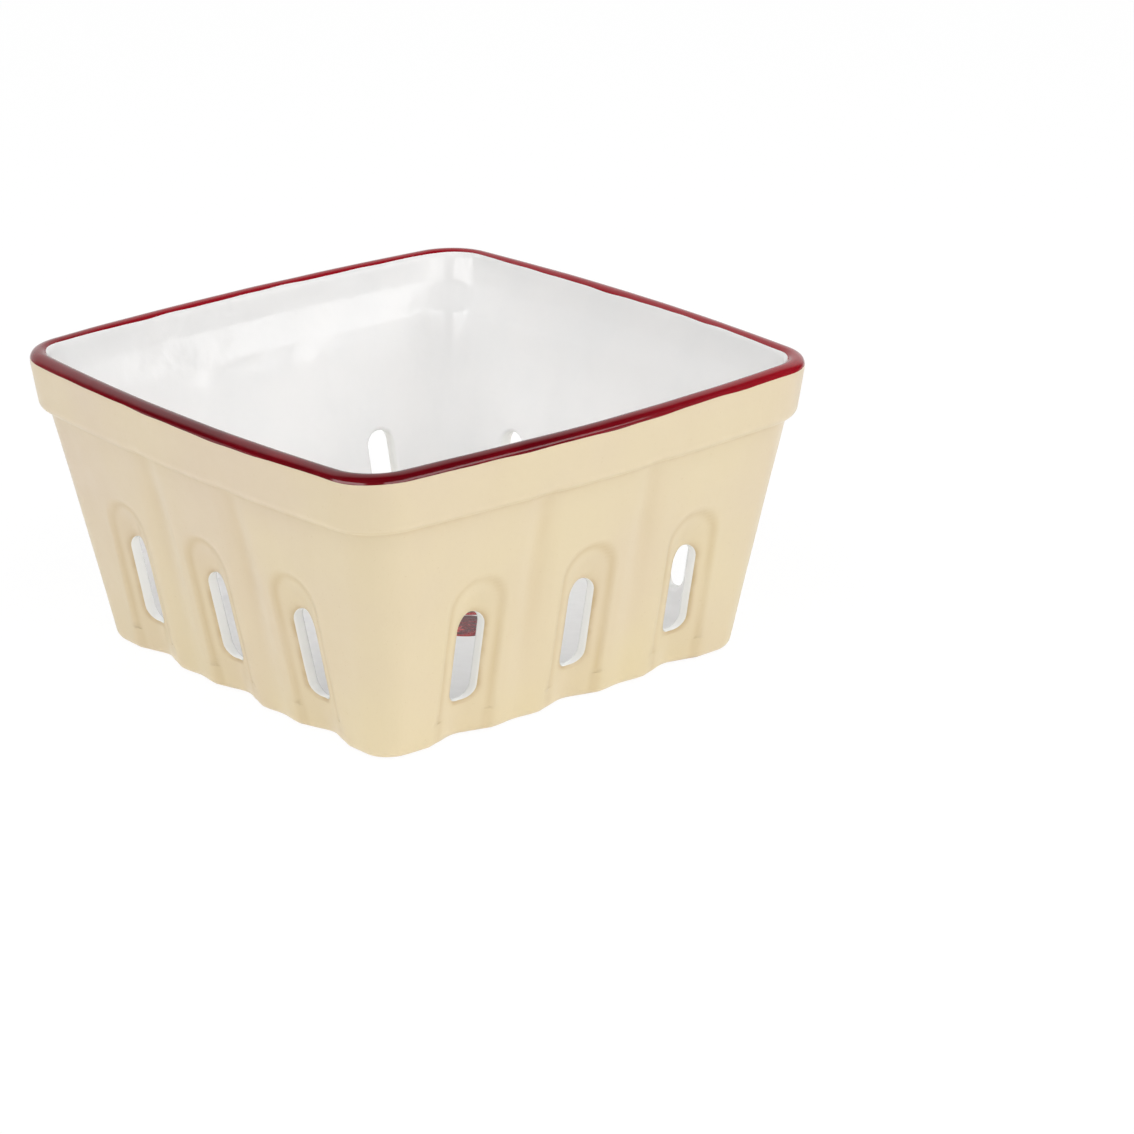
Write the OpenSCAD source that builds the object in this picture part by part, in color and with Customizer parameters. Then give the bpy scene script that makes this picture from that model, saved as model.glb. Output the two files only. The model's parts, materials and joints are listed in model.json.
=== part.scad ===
/* [Bowl] */
// Width across the lip, at the middle of two opposite sides
rim_w = 160; // [140:1:200]
// Height from the foot to the top of the lip
height = 82; // [72:1:100]
// Width across the foot, at the crests of the ribs
foot_w = 123; // [110:1:140]
// How far the wall just under the collar stands in from the lip, on each side
collar_inset = 4.4; // [2:0.1:9]
// Radius of the upright corners at the lip
rim_corner_r = 15; // [12:0.5:24]
// Radius of the upright corners at the foot
foot_corner_r = 8; // [6:0.5:14]
// How far each side bows out at the lip
rim_bow = 4.8; // [2:0.2:8]
// How far each side bows out at the foot
foot_bow = 0.8; // [0.4:0.1:3]

/* [Wall and floor] */
// Thickness of the fired clay in the wall
wall_t = 4.6; // [3.6:0.1:6]
// Thickness of the fired clay in the floor
floor_t = 5; // [4:0.5:8]
// Radius of the turn from the floor into the wall, inside
floor_turn_r = 6; // [3:0.5:10]
// Radius of the inside corners at the floor
floor_corner_r = 7; // [5:0.5:12]
// Radius round the outer edge of the foot
foot_edge_r = 3.2; // [2:0.1:4]
// Width of the bare ring that the bowl stands on
foot_ring_w = 9; // [6:0.5:14]
// How far the underside is hollowed inside that ring
foot_hollow = 1.2; // [0.6:0.1:2]

/* [Collar and lip] */
// Height of the collar, from its lower edge to the top of the lip
collar_h = 16.2; // [12:0.2:22]
// How far the collar stands out from the wall
collar_step = 2.3; // [1:0.1:4]
// Height of the rounded underside of the collar
collar_edge_h = 2.9; // [1.5:0.1:4]
// Height of the soft ledge behind the collar, inside
ledge_h = 5; // [3:0.5:8]
// Radius of the rolled lip
lip_r = 2.5; // [2:0.1:3]

/* [Drain slots] */
// Distance between the centres of two slots on one side
slot_pitch = 36; // [30:0.5:38]
// Width of a slot between its glazed faces
slot_w = 8.2; // [6:0.2:12]
// Height of the sill of a slot
slot_bottom = 11; // [9:0.5:16]
// Height of the top of a slot
slot_top = 36; // [30:0.5:42]
// Radius of the lower corners of a slot
slot_corner_r = 3.4; // [1:0.1:4]

/* [Arched recesses] */
// Width of the recess pressed round each slot
recess_w = 17.5; // [14:0.5:24]
// Height of the top of a recess
recess_top = 47; // [44:0.5:54]
// Depth of the soft shoulder of a recess
recess_step = 0.8; // [0.2:0.1:1.2]
// Depth of the hollow in the middle of a recess, past its shoulder
recess_hollow = 2; // [0.5:0.1:2.4]

/* [Flutes] */
// Width of the soft flute between two recesses
flute_w = 14; // [8:0.5:15]
// Depth of a flute under the collar
flute_depth = 1.4; // [0.4:0.1:2]
// Depth of a flute at the foot
flute_foot_depth = 0.7; // [0.2:0.1:1.4]

/* [Glaze] */
// Thickness of each coat of glaze
glaze_t = 0.4; // [0.3:0.05:0.6]
// How far round the lip the coloured band ends inside, as an angle from where it begins outside
band_turn = 144; // [125:1:170]
// Angle round the edge of the foot at which the outer glaze stops, in degrees
foot_glaze_angle = 50; // [40:1:60]

/* [Painted sprig] */
// Thickness of the painted enamel
paint_t = 0.25; // [0.15:0.05:0.4]
// Radius of the largest berry
berry_r = 8.4; // [6:0.2:9]
// Length of the largest leaf
leaf_len = 21; // [16:0.5:24]
// Width of the largest leaf
leaf_w = 9.6; // [6:0.2:12]
// Width of the main stem
stem_w = 1.8; // [1.2:0.1:2.4]
// Length of the main stem, from end to end
stem_len = 40; // [34:0.5:44]

/* [Hidden] */

// Slots on each side, and their places as counts of the pitch from the middle
slot_count = 3;
slot_rows = [for (i = [0 : slot_count - 1]) i - (slot_count - 1) / 2];
sides = [0 : 90 : 270];

// Smoothness of the round ends of a slot and of a berry
slot_fn = 16;
berry_fn = 48;

// One overrun for every cut
overrun = 4;

// Steps along the rounded edges, as shares of each turn
foot_turn_shares = [0, 0.5, 1];
lip_turn_shares = [0.35, 0.7, 1];
// Where the mouth begins, past the top of the lip, as a share of the first quarter turn
mouth_share = 1.1;
floor_turn_shares = [0, 0.4, 0.75, 1];
collar_edge_shares = [[0, 0], [0.6, 0.3], [1, 1]];
corner_step_shares = [0, 0.25, 0.5, 0.75, 1];
// Heights up the round top of an arch, as shares of its radius
arch_height_shares = [0, 0.5, 0.85, 1.08];
// Stations across a recess, as shares of half its width
recess_station_shares = [0, 0.5, 0.8, 1.04];
// Softness of the shoulder of a recess, as a share of half its width
shoulder_share = 0.2;
// Where the inside of the collar meets the ledge, as a share of the way out to the lip
ledge_share = 0.5;

// Width of the wall just under the collar
under_collar_w = rim_w - 2 * collar_inset;
// The bare clay, under its glaze
foot_half = foot_w / 2 - glaze_t;
under_half = under_collar_w / 2 - glaze_t;
rim_half = rim_w / 2 - glaze_t;
bare_lip_r = lip_r - glaze_t;
lip_z = height - lip_r;
lip_half = rim_half - bare_lip_r;
collar_z = height - collar_h;
collar_face_z = collar_z + collar_edge_h;
lean = atan((under_half - foot_half) / collar_z);
foot_turn_half = wall_half(foot_edge_r) - foot_edge_r / cos(lean);
panel_half = foot_turn_half - foot_ring_w;
wall_gap = wall_t / cos(lean);
floor_turn_half = wall_half(floor_t + floor_turn_r) - wall_gap - floor_turn_r / cos(lean);
ledge_top_z = collar_face_z + lip_r;
ledge_half = mix(wall_half(ledge_top_z) - wall_gap, lip_half - bare_lip_r, ledge_share);

recess_r = recess_w / 2;
spring_z = recess_top - recess_r;
field_stations = [for (f = recess_station_shares) f * recess_r];
flute_station = (slot_pitch / 2 + recess_r) / 2;
// Stations from one end of a side to the other, close together outside and far apart inside
outer_stations = [for (j = slot_rows) each [for (u = slot_stations(j)) j * slot_pitch + u]];
inner_stations = [for (j = slot_rows) each [for (u = [-recess_r, 0, recess_r]) j * slot_pitch + u]];
outer_columns = columns(outer_stations);
inner_columns = columns(inner_stations);
// The coloured band has fewer columns than the clay's outside, so it clears the clay by as much
// as a side's arc rises over the longest stretch between two of them
longest_stretch = max(slot_pitch - recess_w, recess_r,
                      rim_half - rim_corner_r - inner_stations[len(inner_stations) - 1]);
band_clearance = pow(longest_stretch / lip_half, 2) * rim_bow / 4;

function slot_stations(j) =
    let (left = [for (i = [len(field_stations) - 1 : -1 : 1]) -field_stations[i]],
         before = j == slot_rows[0] ? [] : [-slot_pitch / 2, -flute_station],
         after = j == slot_rows[slot_count - 1] ? [] : [flute_station])
    concat(before, left, field_stations, after);

// A column is a side, then a station along it, or a share of the turn round its corner
function columns(stations) =
    [for (side = sides) each concat(
        [for (s = stations) [side, s, undef]],
        [for (f = corner_step_shares) [side, 0, f]])];

function mix(a, b, share) = a + (b - a) * share;
function smooth(x) = let (t = min(1, max(0, x))) t * t * (3 - 2 * t);
function hump(x) = abs(x) < 1 ? pow(cos(90 * x), 2) : 0;

// The wall leans outwards in a straight line from the foot to the collar
function wall_half(z) = mix(foot_half, under_half, z / collar_z);
function bow_at(z) = mix(foot_bow, rim_bow, z / height);
function outer_corner_r(half, z) =
    max(foot_corner_r / 2,
        mix(foot_corner_r, rim_corner_r, z / height) + half - mix(foot_half, rim_half, z / height));
function inner_corner_r(z) = mix(floor_corner_r, rim_corner_r - 2 * lip_r, z / height);

// Depth pressed into a side at station s and height z: a recess under an arch round each
// slot, hollow towards its middle, and a flute midway between two slots
function relief(s, z) =
    let (last = (slot_count - 1) / 2,
         j = min(last, max(-last, round(s / slot_pitch + last) - last)),
         rho = norm([s - j * slot_pitch, max(0, z - spring_z)]) / recess_r,
         shoulder = 1 - smooth((rho - 1 + shoulder_share) / (2 * shoulder_share)),
         flute = hump((abs(s) - slot_pitch / 2) / (flute_w / 2)),
         depth = mix(flute_foot_depth, flute_depth, min(1, z / collar_z)))
    recess_step * shoulder + recess_hollow * hump(rho) + depth * flute;

// A profile point holds half width, height, outward direction, share of the relief, and
// the radius of the upright corners there
function outer_point(half, z, out, up, share) = [half, z, out, up, share, outer_corner_r(half, z)];
function inner_point(half, z, out, up) = [half, z, out, up, 0, inner_corner_r(z)];

function foot_point(angle) =
    outer_point(foot_turn_half + foot_edge_r * cos(angle), foot_edge_r * (1 + sin(angle)),
                cos(angle), sin(angle), 1);
function wall_point(z) = outer_point(wall_half(z), z, cos(lean), -sin(lean), 1);
function collar_point(out, up) =
    let (z = collar_z + up * collar_edge_h)
    outer_point(wall_half(z) + out * collar_step, z, cos(lean), -sin(lean), 1 - out);
function lip_point(angle) =
    outer_point(lip_half + bare_lip_r * cos(angle), lip_z + bare_lip_r * sin(angle),
                cos(angle), sin(angle), 0);
function floor_turn_point(angle) =
    inner_point(floor_turn_half + floor_turn_r * cos(angle),
                floor_t + floor_turn_r * (1 + sin(angle)), -cos(angle), -sin(angle));
function inner_wall_point(z) = inner_point(wall_half(z) - wall_gap, z, -cos(lean), sin(lean));
function inner_face_point(z) =
    inner_point(mix(ledge_half, lip_half - bare_lip_r, (z - ledge_top_z) / (lip_z - ledge_top_z)),
                z, -cos(lean), sin(lean));

panel_profile = [outer_point(panel_half - foot_hollow, foot_hollow, 0, -1, 0),
                 outer_point(panel_half, 0, 0, -1, 0)];
wall_profile = concat(
    [for (f = arch_height_shares) wall_point(spring_z + f * recess_r)],
    [for (p = collar_edge_shares) collar_point(p[0], p[1])],
    [lip_point(0)]);
lip_profile = [for (f = lip_turn_shares) lip_point(90 * f)];
mouth_edge = lip_point(90 * mouth_share);
body_profile = concat(
    panel_profile, [for (f = foot_turn_shares) foot_point(mix(-90, -lean, f))],
    wall_profile, lip_profile);
exterior_profile = concat(
    [for (f = foot_turn_shares) foot_point(mix(-foot_glaze_angle, -lean, f))], wall_profile);
interior_profile = concat(
    [for (f = floor_turn_shares) floor_turn_point(mix(-90, -lean, f))],
    [inner_wall_point(spring_z), inner_wall_point(ledge_top_z - ledge_h),
     inner_face_point(ledge_top_z), lip_point(180), lip_point(band_turn)]);
rim_profile = concat([lip_point(0)], lip_profile, [mouth_edge, lip_point(band_turn)]);

// The plan is a square whose sides are shallow arcs, met by round corners: the point of one
// column on it, moved out by the coat's thickness and in by the relief
function plan_point(p, column, coat) =
    let (half = p[0],
         z = p[1],
         corner_r = p[5],
         side_r = half * half / (2 * bow_at(z)),
         side_x = half - side_r,
         corner = (side_x + sqrt(2 * pow(side_r - corner_r, 2) - side_x * side_x)) / 2,
         reach = 90 - atan2(corner - side_x, corner),
         on_side = is_undef(column[2]),
         station = column[1] * (p[4] == 0 ? min(1, half / foot_half) : 1),
         angle = on_side ? station / side_r * 180 / PI : mix(reach, 90 - reach, column[2]),
         centre = on_side ? [side_x, 0] : [corner, corner],
         r = on_side ? side_r : corner_r,
         push = coat * p[2] - (on_side && p[4] > 0 ? p[4] * relief(column[1], z) : 0),
         x = centre[0] + (r + push) * cos(angle),
         y = centre[1] + (r + push) * sin(angle))
    [x * cos(column[0]) - y * sin(column[0]), x * sin(column[0]) + y * cos(column[0]),
     z + coat * p[3]];

function ring(p, cols, coat) = [for (column = cols) plan_point(p, column, coat)];
function rings(profile, cols, coat) = [for (p = profile) ring(p, cols, coat)];
function reversed(list) = [for (i = [len(list) - 1 : -1 : 0]) list[i]];

// Skin over a stack of rings: the diagonals of its faces turn at one ring, so that a coat's
// back has the same faces as the surface that it lies on
function skin_faces(n, bands, count, turn) =
    [for (i = [0 : bands - 1], j = [0 : n - 1])
        let (k = (j + 1) % n,
             low = i * n,
             high = (i + 1) % count * n)
        each (i < turn
            ? [[low + j, high + j, high + k], [low + j, high + k, low + k]]
            : [[low + j, high + j, low + k], [low + k, high + j, high + k]])];

module capped_skin(stack, turn) {
    n = len(stack[0]);
    count = len(stack);
    polyhedron(points = [for (loop = stack) each loop],
               faces = concat([[for (j = [0 : n - 1]) j]],
                              skin_faces(n, count - 1, count, turn),
                              [[for (j = [n - 1 : -1 : 0]) (count - 1) * n + j]]));
}

module closed_skin(stack, turn) {
    n = len(stack[0]);
    count = len(stack);
    polyhedron(points = [for (loop = stack) each loop],
               faces = skin_faces(n, count, count, turn));
}

// A coat lies between the bare profile, or a clearance from it, and the same profile moved out
// by the glaze's thickness
module open_coat(profile, cols, clearance) {
    closed_skin(concat(rings(profile, cols, glaze_t), reversed(rings(profile, cols, clearance))),
                len(profile) - 1);
}

// The whole bowl in bare clay, before its slots are cut
module bare_form() {
    difference() {
        capped_skin(rings(body_profile, outer_columns, 0), len(body_profile));
        capped_skin(concat(
            rings(interior_profile, inner_columns, 0),
            [ring(mouth_edge, inner_columns, 0),
             [for (q = ring(mouth_edge, inner_columns, 0)) q + [0, 0, overrun]]]),
            len(interior_profile) + 1);
    }
}

// One slot's outline carried straight through the wall, grown by a margin all round
module slot_cut(margin) {
    start = floor_turn_half - overrun;
    length = wall_half(slot_top) + overrun - start;
    half = slot_w / 2 + margin;
    low_r = min(slot_corner_r, slot_w / 2) + margin;
    low_z = slot_bottom - margin + low_r;
    translate([start, 0, 0])
        rotate([0, 90, 0])
            hull() {
                translate([slot_w / 2 - slot_top, 0, 0])
                    cylinder(h = length, r = half, $fn = slot_fn);
                for (y = [-1, 1])
                    translate([-low_z, y * (half - low_r), 0])
                        cylinder(h = length, r = low_r, $fn = slot_fn);
            }
}

module slot_cuts(margin) {
    for (side = sides, j = slot_rows)
        rotate(side)
            translate([0, j * slot_pitch, 0])
                slot_cut(margin);
}

// The painted sprig lies on the glazed floor: three berries and two leaves on one stem.
// Places are shares of the stem's length, from the middle of the floor
berry_place_shares = [[-0.265, -0.17, 0.94], [0.255, -0.12, 1], [0.01, -0.45, 0.9]];
fork_shares = [0, 0.15];
stem_tip_shares = [0.09, 0.55];
stem_bend_shares = [0.01, 0.36];
twig_bend_shares = [[-0.16, 0.07], [0.15, 0.09], [0.02, -0.1]];
leaf_angles = [146, 33];
leaf_size_shares = [1, 0.92];
leaf_belly_share = 0.8;
twig_share = 0.8;
sprig_z = floor_t + glaze_t;
// How far the sprig is turned on the floor
sprig_turn = 180;
curve_steps = 8;
leaf_steps = 14;

module sprig_place() {
    translate([0, 0, sprig_z])
        rotate(sprig_turn)
            children();
}

function place(shares) = [shares[0] * stem_len, shares[1] * stem_len];
function bend_at(a, b, c, t) = (1 - t) * (1 - t) * a + 2 * t * (1 - t) * b + t * t * c;
function slope_at(a, b, c, t) = (1 - t) * (b - a) + t * (c - b);

// One bent stroke of even width, from a to c, drawn towards b; extra carries it past the
// paint above and below, for a cut
module stroke(a, b, c, width, extra) {
    edge = [for (i = [0 : curve_steps])
        let (t = i / curve_steps, d = slope_at(a, b, c, t), n = [-d[1], d[0]] / norm(d))
        [bend_at(a, b, c, t) + n * width / 2, bend_at(a, b, c, t) - n * width / 2]];
    translate([0, 0, -extra])
        linear_extrude(height = paint_t + 2 * extra)
            polygon(concat([for (e = edge) e[0]], reversed([for (e = edge) e[1]])));
}

module leaf(length, width) {
    side = [for (i = [1 : leaf_steps - 1])
        [length * i / leaf_steps, width / 2 * sin(180 * pow(i / leaf_steps, leaf_belly_share))]];
    linear_extrude(height = paint_t)
        polygon(concat([[0, 0]], [for (q = side) [q[0], -q[1]]], [[length, 0]], reversed(side)));
}

module stem_strokes(extra) {
    stroke(place(stem_tip_shares), place(stem_bend_shares), place(fork_shares), stem_w, extra);
    for (i = [0 : len(berry_place_shares) - 1])
        stroke(place(fork_shares), place(twig_bend_shares[i]), place(berry_place_shares[i]),
               stem_w * twig_share, extra);
}

module berry_discs(extra) {
    for (b = berry_place_shares)
        translate([place(b)[0], place(b)[1], -extra])
            cylinder(h = paint_t + 2 * extra, r = berry_r * b[2], $fn = berry_fn);
}

module clay_body() {
    color("#c9a583")
        difference() {
            bare_form();
            slot_cuts(glaze_t);
        }
}

module exterior_glaze() {
    color("#e9dcb8")
        difference() {
            open_coat(exterior_profile, outer_columns, 0);
            slot_cuts(0);
        }
}

module underside_glaze() {
    color("#e9dcb8")
        translate([0, 0, foot_hollow - glaze_t])
            linear_extrude(height = glaze_t)
                polygon([for (q = ring(panel_profile[0], inner_columns, 0)) [q[0], q[1]]]);
}

module interior_glaze() {
    color("#f4f4f1")
        difference() {
            capped_skin(concat(rings(interior_profile, inner_columns, 0),
                               reversed(rings(interior_profile, inner_columns, glaze_t))),
                        len(interior_profile) - 1);
            slot_cuts(0);
        }
}

// White glaze lines each slot between the two larger coats
module slot_glaze() {
    color("#ecebe6")
        intersection() {
            bare_form();
            difference() {
                slot_cuts(glaze_t);
                slot_cuts(0);
            }
        }
}

module rim_band() {
    color("#7d0a18")
        open_coat(rim_profile, inner_columns, band_clearance);
}

module painted_berries() {
    color("#8c1022")
        sprig_place()
            berry_discs(0);
}

module painted_leaves() {
    color("#5f7f3a")
        sprig_place()
            difference() {
                for (i = [0 : len(leaf_angles) - 1])
                    translate(place(fork_shares))
                        rotate(leaf_angles[i])
                            leaf(leaf_len * leaf_size_shares[i], leaf_w * leaf_size_shares[i]);
                stem_strokes(overrun);
            }
}

module painted_stems() {
    color("#6f8a3c")
        sprig_place()
            difference() {
                stem_strokes(0);
                berry_discs(overrun);
            }
}

clay_body();
exterior_glaze();
underside_glaze();
interior_glaze();
slot_glaze();
rim_band();
painted_berries();
painted_leaves();
painted_stems();
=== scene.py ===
"""Berry colander bowl: a square stoneware berry basket, glazed and painted, made as surfaces.

The bowl is one clay body under five coats of glaze, with a sprig painted on its floor. Its
clay skin is worked out once: a profile is carried round a square plan with bowed sides, and
twelve drain slots are let into it. Each coat is then a thin closed shell on its own stretch
of that skin. Lengths are in metres and +Z is up.
"""
import json
import math
from functools import cached_property

import bpy
import numpy as np
from bpy.props import FloatProperty, FloatVectorProperty, PointerProperty
from mathutils import Matrix, Vector

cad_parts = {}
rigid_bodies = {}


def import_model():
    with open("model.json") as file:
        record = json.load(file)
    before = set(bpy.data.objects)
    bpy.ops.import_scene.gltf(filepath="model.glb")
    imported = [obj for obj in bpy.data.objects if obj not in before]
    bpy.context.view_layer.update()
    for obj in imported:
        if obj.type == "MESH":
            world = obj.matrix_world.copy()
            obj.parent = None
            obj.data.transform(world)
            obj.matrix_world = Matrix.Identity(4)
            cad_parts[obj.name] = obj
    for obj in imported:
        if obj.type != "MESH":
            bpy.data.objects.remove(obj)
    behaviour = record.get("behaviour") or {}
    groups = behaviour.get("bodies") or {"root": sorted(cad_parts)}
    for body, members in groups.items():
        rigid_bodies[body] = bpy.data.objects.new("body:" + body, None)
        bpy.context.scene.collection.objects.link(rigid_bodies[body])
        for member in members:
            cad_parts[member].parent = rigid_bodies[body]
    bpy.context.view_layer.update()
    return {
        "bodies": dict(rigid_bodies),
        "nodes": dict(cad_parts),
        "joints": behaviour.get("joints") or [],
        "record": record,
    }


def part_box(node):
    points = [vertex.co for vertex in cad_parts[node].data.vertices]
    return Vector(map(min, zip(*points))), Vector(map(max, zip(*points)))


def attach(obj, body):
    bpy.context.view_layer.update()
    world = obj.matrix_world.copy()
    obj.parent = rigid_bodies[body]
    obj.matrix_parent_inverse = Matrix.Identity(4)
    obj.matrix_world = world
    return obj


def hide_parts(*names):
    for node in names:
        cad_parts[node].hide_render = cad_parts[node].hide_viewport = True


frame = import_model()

bl_info = {
    "name": "Berry Colander Bowl",
    "version": (1, 0, 0),
    "blender": (4, 5, 0),
    "location": "View3D > Sidebar > Bowl",
    "description": "Builds a glazed stoneware berry basket with drain slots",
    "category": "Add Mesh",
}

BODY = "root"
BAND_LOW, BAND_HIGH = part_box("rim_band")
FLOOR_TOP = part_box("interior_glaze")[0].z
PAINT_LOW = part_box("painted_berries")[0].z
SHARP_ANGLE = math.radians(55)   # faces that meet at more than this keep a sharp edge


def length(name, default, description):
    """A size in metres, as a property."""
    return FloatProperty(name=name, description=description, default=default,
                         min=0.0, unit="LENGTH", precision=5)


def colour(name, red, green, blue, description):
    """A colour given in screen values from 0 to 255, as a linear property."""
    return FloatVectorProperty(name=name, description=description, size=4, subtype="COLOR",
                               min=0.0, max=1.0, default=screen_colour(red, green, blue))


def screen_colour(red, green, blue):
    """Screen values from 0 to 255 as linear light: a power curve above a short straight toe."""
    toe, scale, offset, power = 0.04045, 12.92, 0.055, 2.4
    linear = [v / scale if v <= toe else ((v + offset) / (1 + offset)) ** power
              for v in (red / 255, green / 255, blue / 255)]
    return (*linear, 1.0)


class BowlSizes(bpy.types.PropertyGroup):
    """Sizes of the clay and its coats"""
    rim_width: length("Rim width", BAND_HIGH.x - BAND_LOW.x, "Across the lip, side to side")
    height: length("Height", BAND_HIGH.z, "From the foot to the top of the lip")
    foot_width: length("Foot width", 0.123, "Across the foot, at the crests of the ribs")
    under_width: length("Width under collar", 0.1512, "Across the wall just under the collar")
    rim_corner: length("Rim corner", 0.015, "Radius of the upright corners at the lip")
    foot_corner: length("Foot corner", 0.008, "Radius of the upright corners at the foot")
    rim_bow: length("Rim bow", 0.0048, "How far a side bows out at the lip")
    foot_bow: length("Foot bow", 0.0008, "How far a side bows out at the foot")
    wall: length("Wall", 0.0046, "Thickness of the clay in the wall")
    floor: length("Floor", FLOOR_TOP, "Thickness of the clay in the floor")
    floor_turn: length("Floor turn", 0.006, "Radius from the floor into the wall, inside")
    floor_corner: length("Floor corner", 0.007, "Radius of the inside corners at the floor")
    foot_edge: length("Foot edge", 0.0032, "Radius round the outer edge of the foot")
    foot_ring: length("Foot ring", 0.009, "Width of the bare ring that the bowl stands on")
    foot_hollow: length("Foot hollow", 0.0012, "How far the underside is hollowed")
    collar: length("Collar height", 0.0162, "From the collar's lower edge to the lip's top")
    collar_step: length("Collar step", 0.0023, "How far the collar stands out")
    collar_turn: length("Collar turn", 0.0027, "Radius of the collar's lower edge")
    collar_crease: length("Collar crease", 0.0026, "Radius of the crease under the collar")
    ledge: length("Ledge", 0.0074, "Height of the soft ledge behind the collar")
    ledge_turn: length("Ledge turn", 0.0105, "Radius of the ledge's two edges")
    lip: length("Lip", 0.0025, "Radius of the rolled lip")
    slot_pitch: length("Slot pitch", 0.036, "Between the centres of two slots")
    slot_width: length("Slot width", 0.0082, "Between the glazed faces of a slot")
    slot_bottom: length("Slot sill", 0.011, "Height of a slot's sill")
    slot_top: length("Slot top", 0.036, "Height of the top of a slot")
    slot_corner: length("Slot corner", 0.0034, "Radius of the lower corners of a slot")
    slot_edge: length("Slot edge", 0.0006, "Softness of a slot's outer edge, in the clay")
    slot_inner_edge: length("Slot inner edge", 0.0011, "Softness of a slot's inner edge")
    recess_width: length("Recess width", 0.0175, "Width of the recess round each slot")
    recess_top: length("Recess top", 0.047, "Height of the top of a recess")
    recess_step: length("Recess step", 0.0008, "Depth of a recess's soft shoulder")
    recess_hollow: length("Recess hollow", 0.002, "Depth of its hollow past the shoulder")
    recess_bulge: length("Recess bulge", 0.0004, "How far a recess shows inside the wall")
    flute_width: length("Flute width", 0.014, "Width of the flute between two recesses")
    flute_depth: length("Flute depth", 0.0014, "Depth of a flute under the collar")
    flute_foot: length("Flute foot depth", 0.0007, "Depth of a flute at the foot")
    flute_bulge: length("Flute bulge", 0.0005, "How far a flute shows inside the wall")
    glaze: length("Glaze", 0.0004, "Thickness of each coat of glaze")
    bead: length("Band bead", 0.00005, "How proud the coloured band stands near its edges")
    band_out: length("Band outside", 0.0021, "How far the band runs down the outside")
    band_in: length("Band inside", 0.00104, "How far the band runs down the inside")
    brush_wave: length("Brush wave", 0.00042, "Wander of the band's brushed edges")
    hand_wave: length("Hand wave", 0.00012, "Unevenness of the pressed clay")
    ledge_wave: length("Ledge wave", 0.0007, "Unevenness of the ledge, along it")
    flute_fade: length("Flute fade", 0.016, "Height over which a flute fades to the collar")
    lip_corner: length("Lip corner", 0.002, "How much rounder the lip's inner corners are")
    rim_sag: length("Rim sag", 0.00035, "How far the rim sinks away from its highest place")
    rim_peak: FloatProperty(name="Rim peak", subtype="ANGLE", default=math.radians(-31),
                            description="Where round the bowl the rim is highest")


class SprigSizes(bpy.types.PropertyGroup):
    """Sizes of the painted sprig"""
    stem_length: length("Stem length", 0.040, "The sprig, from end to end")
    stem_width: length("Stem width", 0.0018, "Width of the main stem")
    berry_radius: length("Berry radius", 0.0084, "Radius of the largest berry")
    leaf_length: length("Leaf length", 0.021, "Length of the largest leaf")
    leaf_width: length("Leaf width", 0.0096, "Width of the largest leaf")
    paint: length("Paint", 0.00025, "Thickness of the painted enamel")
    turn: FloatProperty(name="Turn", subtype="ANGLE", default=math.pi,
                        description="How far the sprig is turned on the floor")


class BowlColours(bpy.types.PropertyGroup):
    """Colours of the clay, the glazes and the enamel"""
    cream: colour("Cream", 221, 206, 167, "The outer glaze")
    # Besides the glaze's rosy clouds, this colour is painted shade, laid on most towards the top
    # and the left of the outside.
    cream_rose_and_shade: colour("Rosy cream", 214, 196, 170, "The outer glaze where it is thinner")
    cream_pool: colour("Pooled cream", 196, 171, 122, "The outer glaze where it gathers")
    cream_edge: colour("Cream edge", 181, 151, 100, "The outer glaze at the edge of a slot")
    white: colour("White", 245, 244, 243, "The inner glaze")
    white_pool: colour("Pooled white", 237, 238, 238, "The inner glaze where it gathers")
    burgundy: colour("Burgundy", 124, 0, 17, "The coloured band")
    burgundy_deep: colour("Deep burgundy", 95, 0, 11, "The coloured band where it is thick")
    burgundy_thin: colour("Thin burgundy", 150, 34, 44, "The coloured band at its edges")
    burgundy_red: colour("Red burgundy", 150, 16, 30, "The coloured band where it is redder")
    clay: colour("Clay", 205, 176, 140, "The bare foot ring")
    clay_dark: colour("Dark clay", 176, 142, 104, "Grains and rubbed places on the ring")
    berry: colour("Berry", 138, 8, 26, "The painted berries")
    berry_dark: colour("Dark berry", 66, 2, 14, "Their shaded side and strokes")
    berry_light: colour("Light berry", 196, 72, 70, "Their thin strokes")
    leaf: colour("Leaf", 106, 134, 62, "The painted leaves")
    leaf_dark: colour("Dark leaf", 52, 82, 36, "Their shaded strokes")
    leaf_light: colour("Light leaf", 168, 184, 104, "Their veins")
    stem: colour("Stem", 120, 138, 62, "The painted stems")
    stem_dark: colour("Dark stem", 92, 66, 36, "Their darker strokes")


def mix(a, b, share):
    """a at a share of 0, b at 1, and in between in proportion."""
    return a + (b - a) * share


def smooth(x):
    """0 below 0, 1 above 1, and a cubic ease between them."""
    t = np.clip(x, 0.0, 1.0)
    return t * t * (3 - 2 * t)


def hump(x):
    """A squared cosine, 1 at 0 and 0 from 1 outwards."""
    return np.where(np.abs(x) < 1, np.cos(np.pi / 2 * np.clip(x, -1, 1)) ** 2, 0.0)


def sway(x, waves, seed):
    """A sum of sines with lengths that share no common beat, from -1 to 1, for brushed edges.
    x is an angle round the bowl, so each sine makes a whole number of waves."""
    total = sum(np.sin(n * x + seed * (k + 1) * 1.7) / (k + 1.5) for k, n in enumerate(waves))
    return total / sum(1 / (k + 1.5) for k in range(len(waves)))


def steps_to(first, last, count):
    """Even steps from first towards last, which is left out."""
    return np.linspace(first, last, count + 1)[:-1]


def running_length(points):
    """How far each point lies from the first, along the line through them all."""
    steps = np.linalg.norm(np.diff(points, axis=0), axis=1)
    return np.concatenate([[0], np.cumsum(steps)])


def grid_quads(numbers):
    """The quads of a grid of vertex numbers."""
    quads = np.stack([numbers[:-1, :-1], numbers[1:, :-1], numbers[1:, 1:], numbers[:-1, 1:]], -1)
    return quads.reshape(-1, 4)


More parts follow.
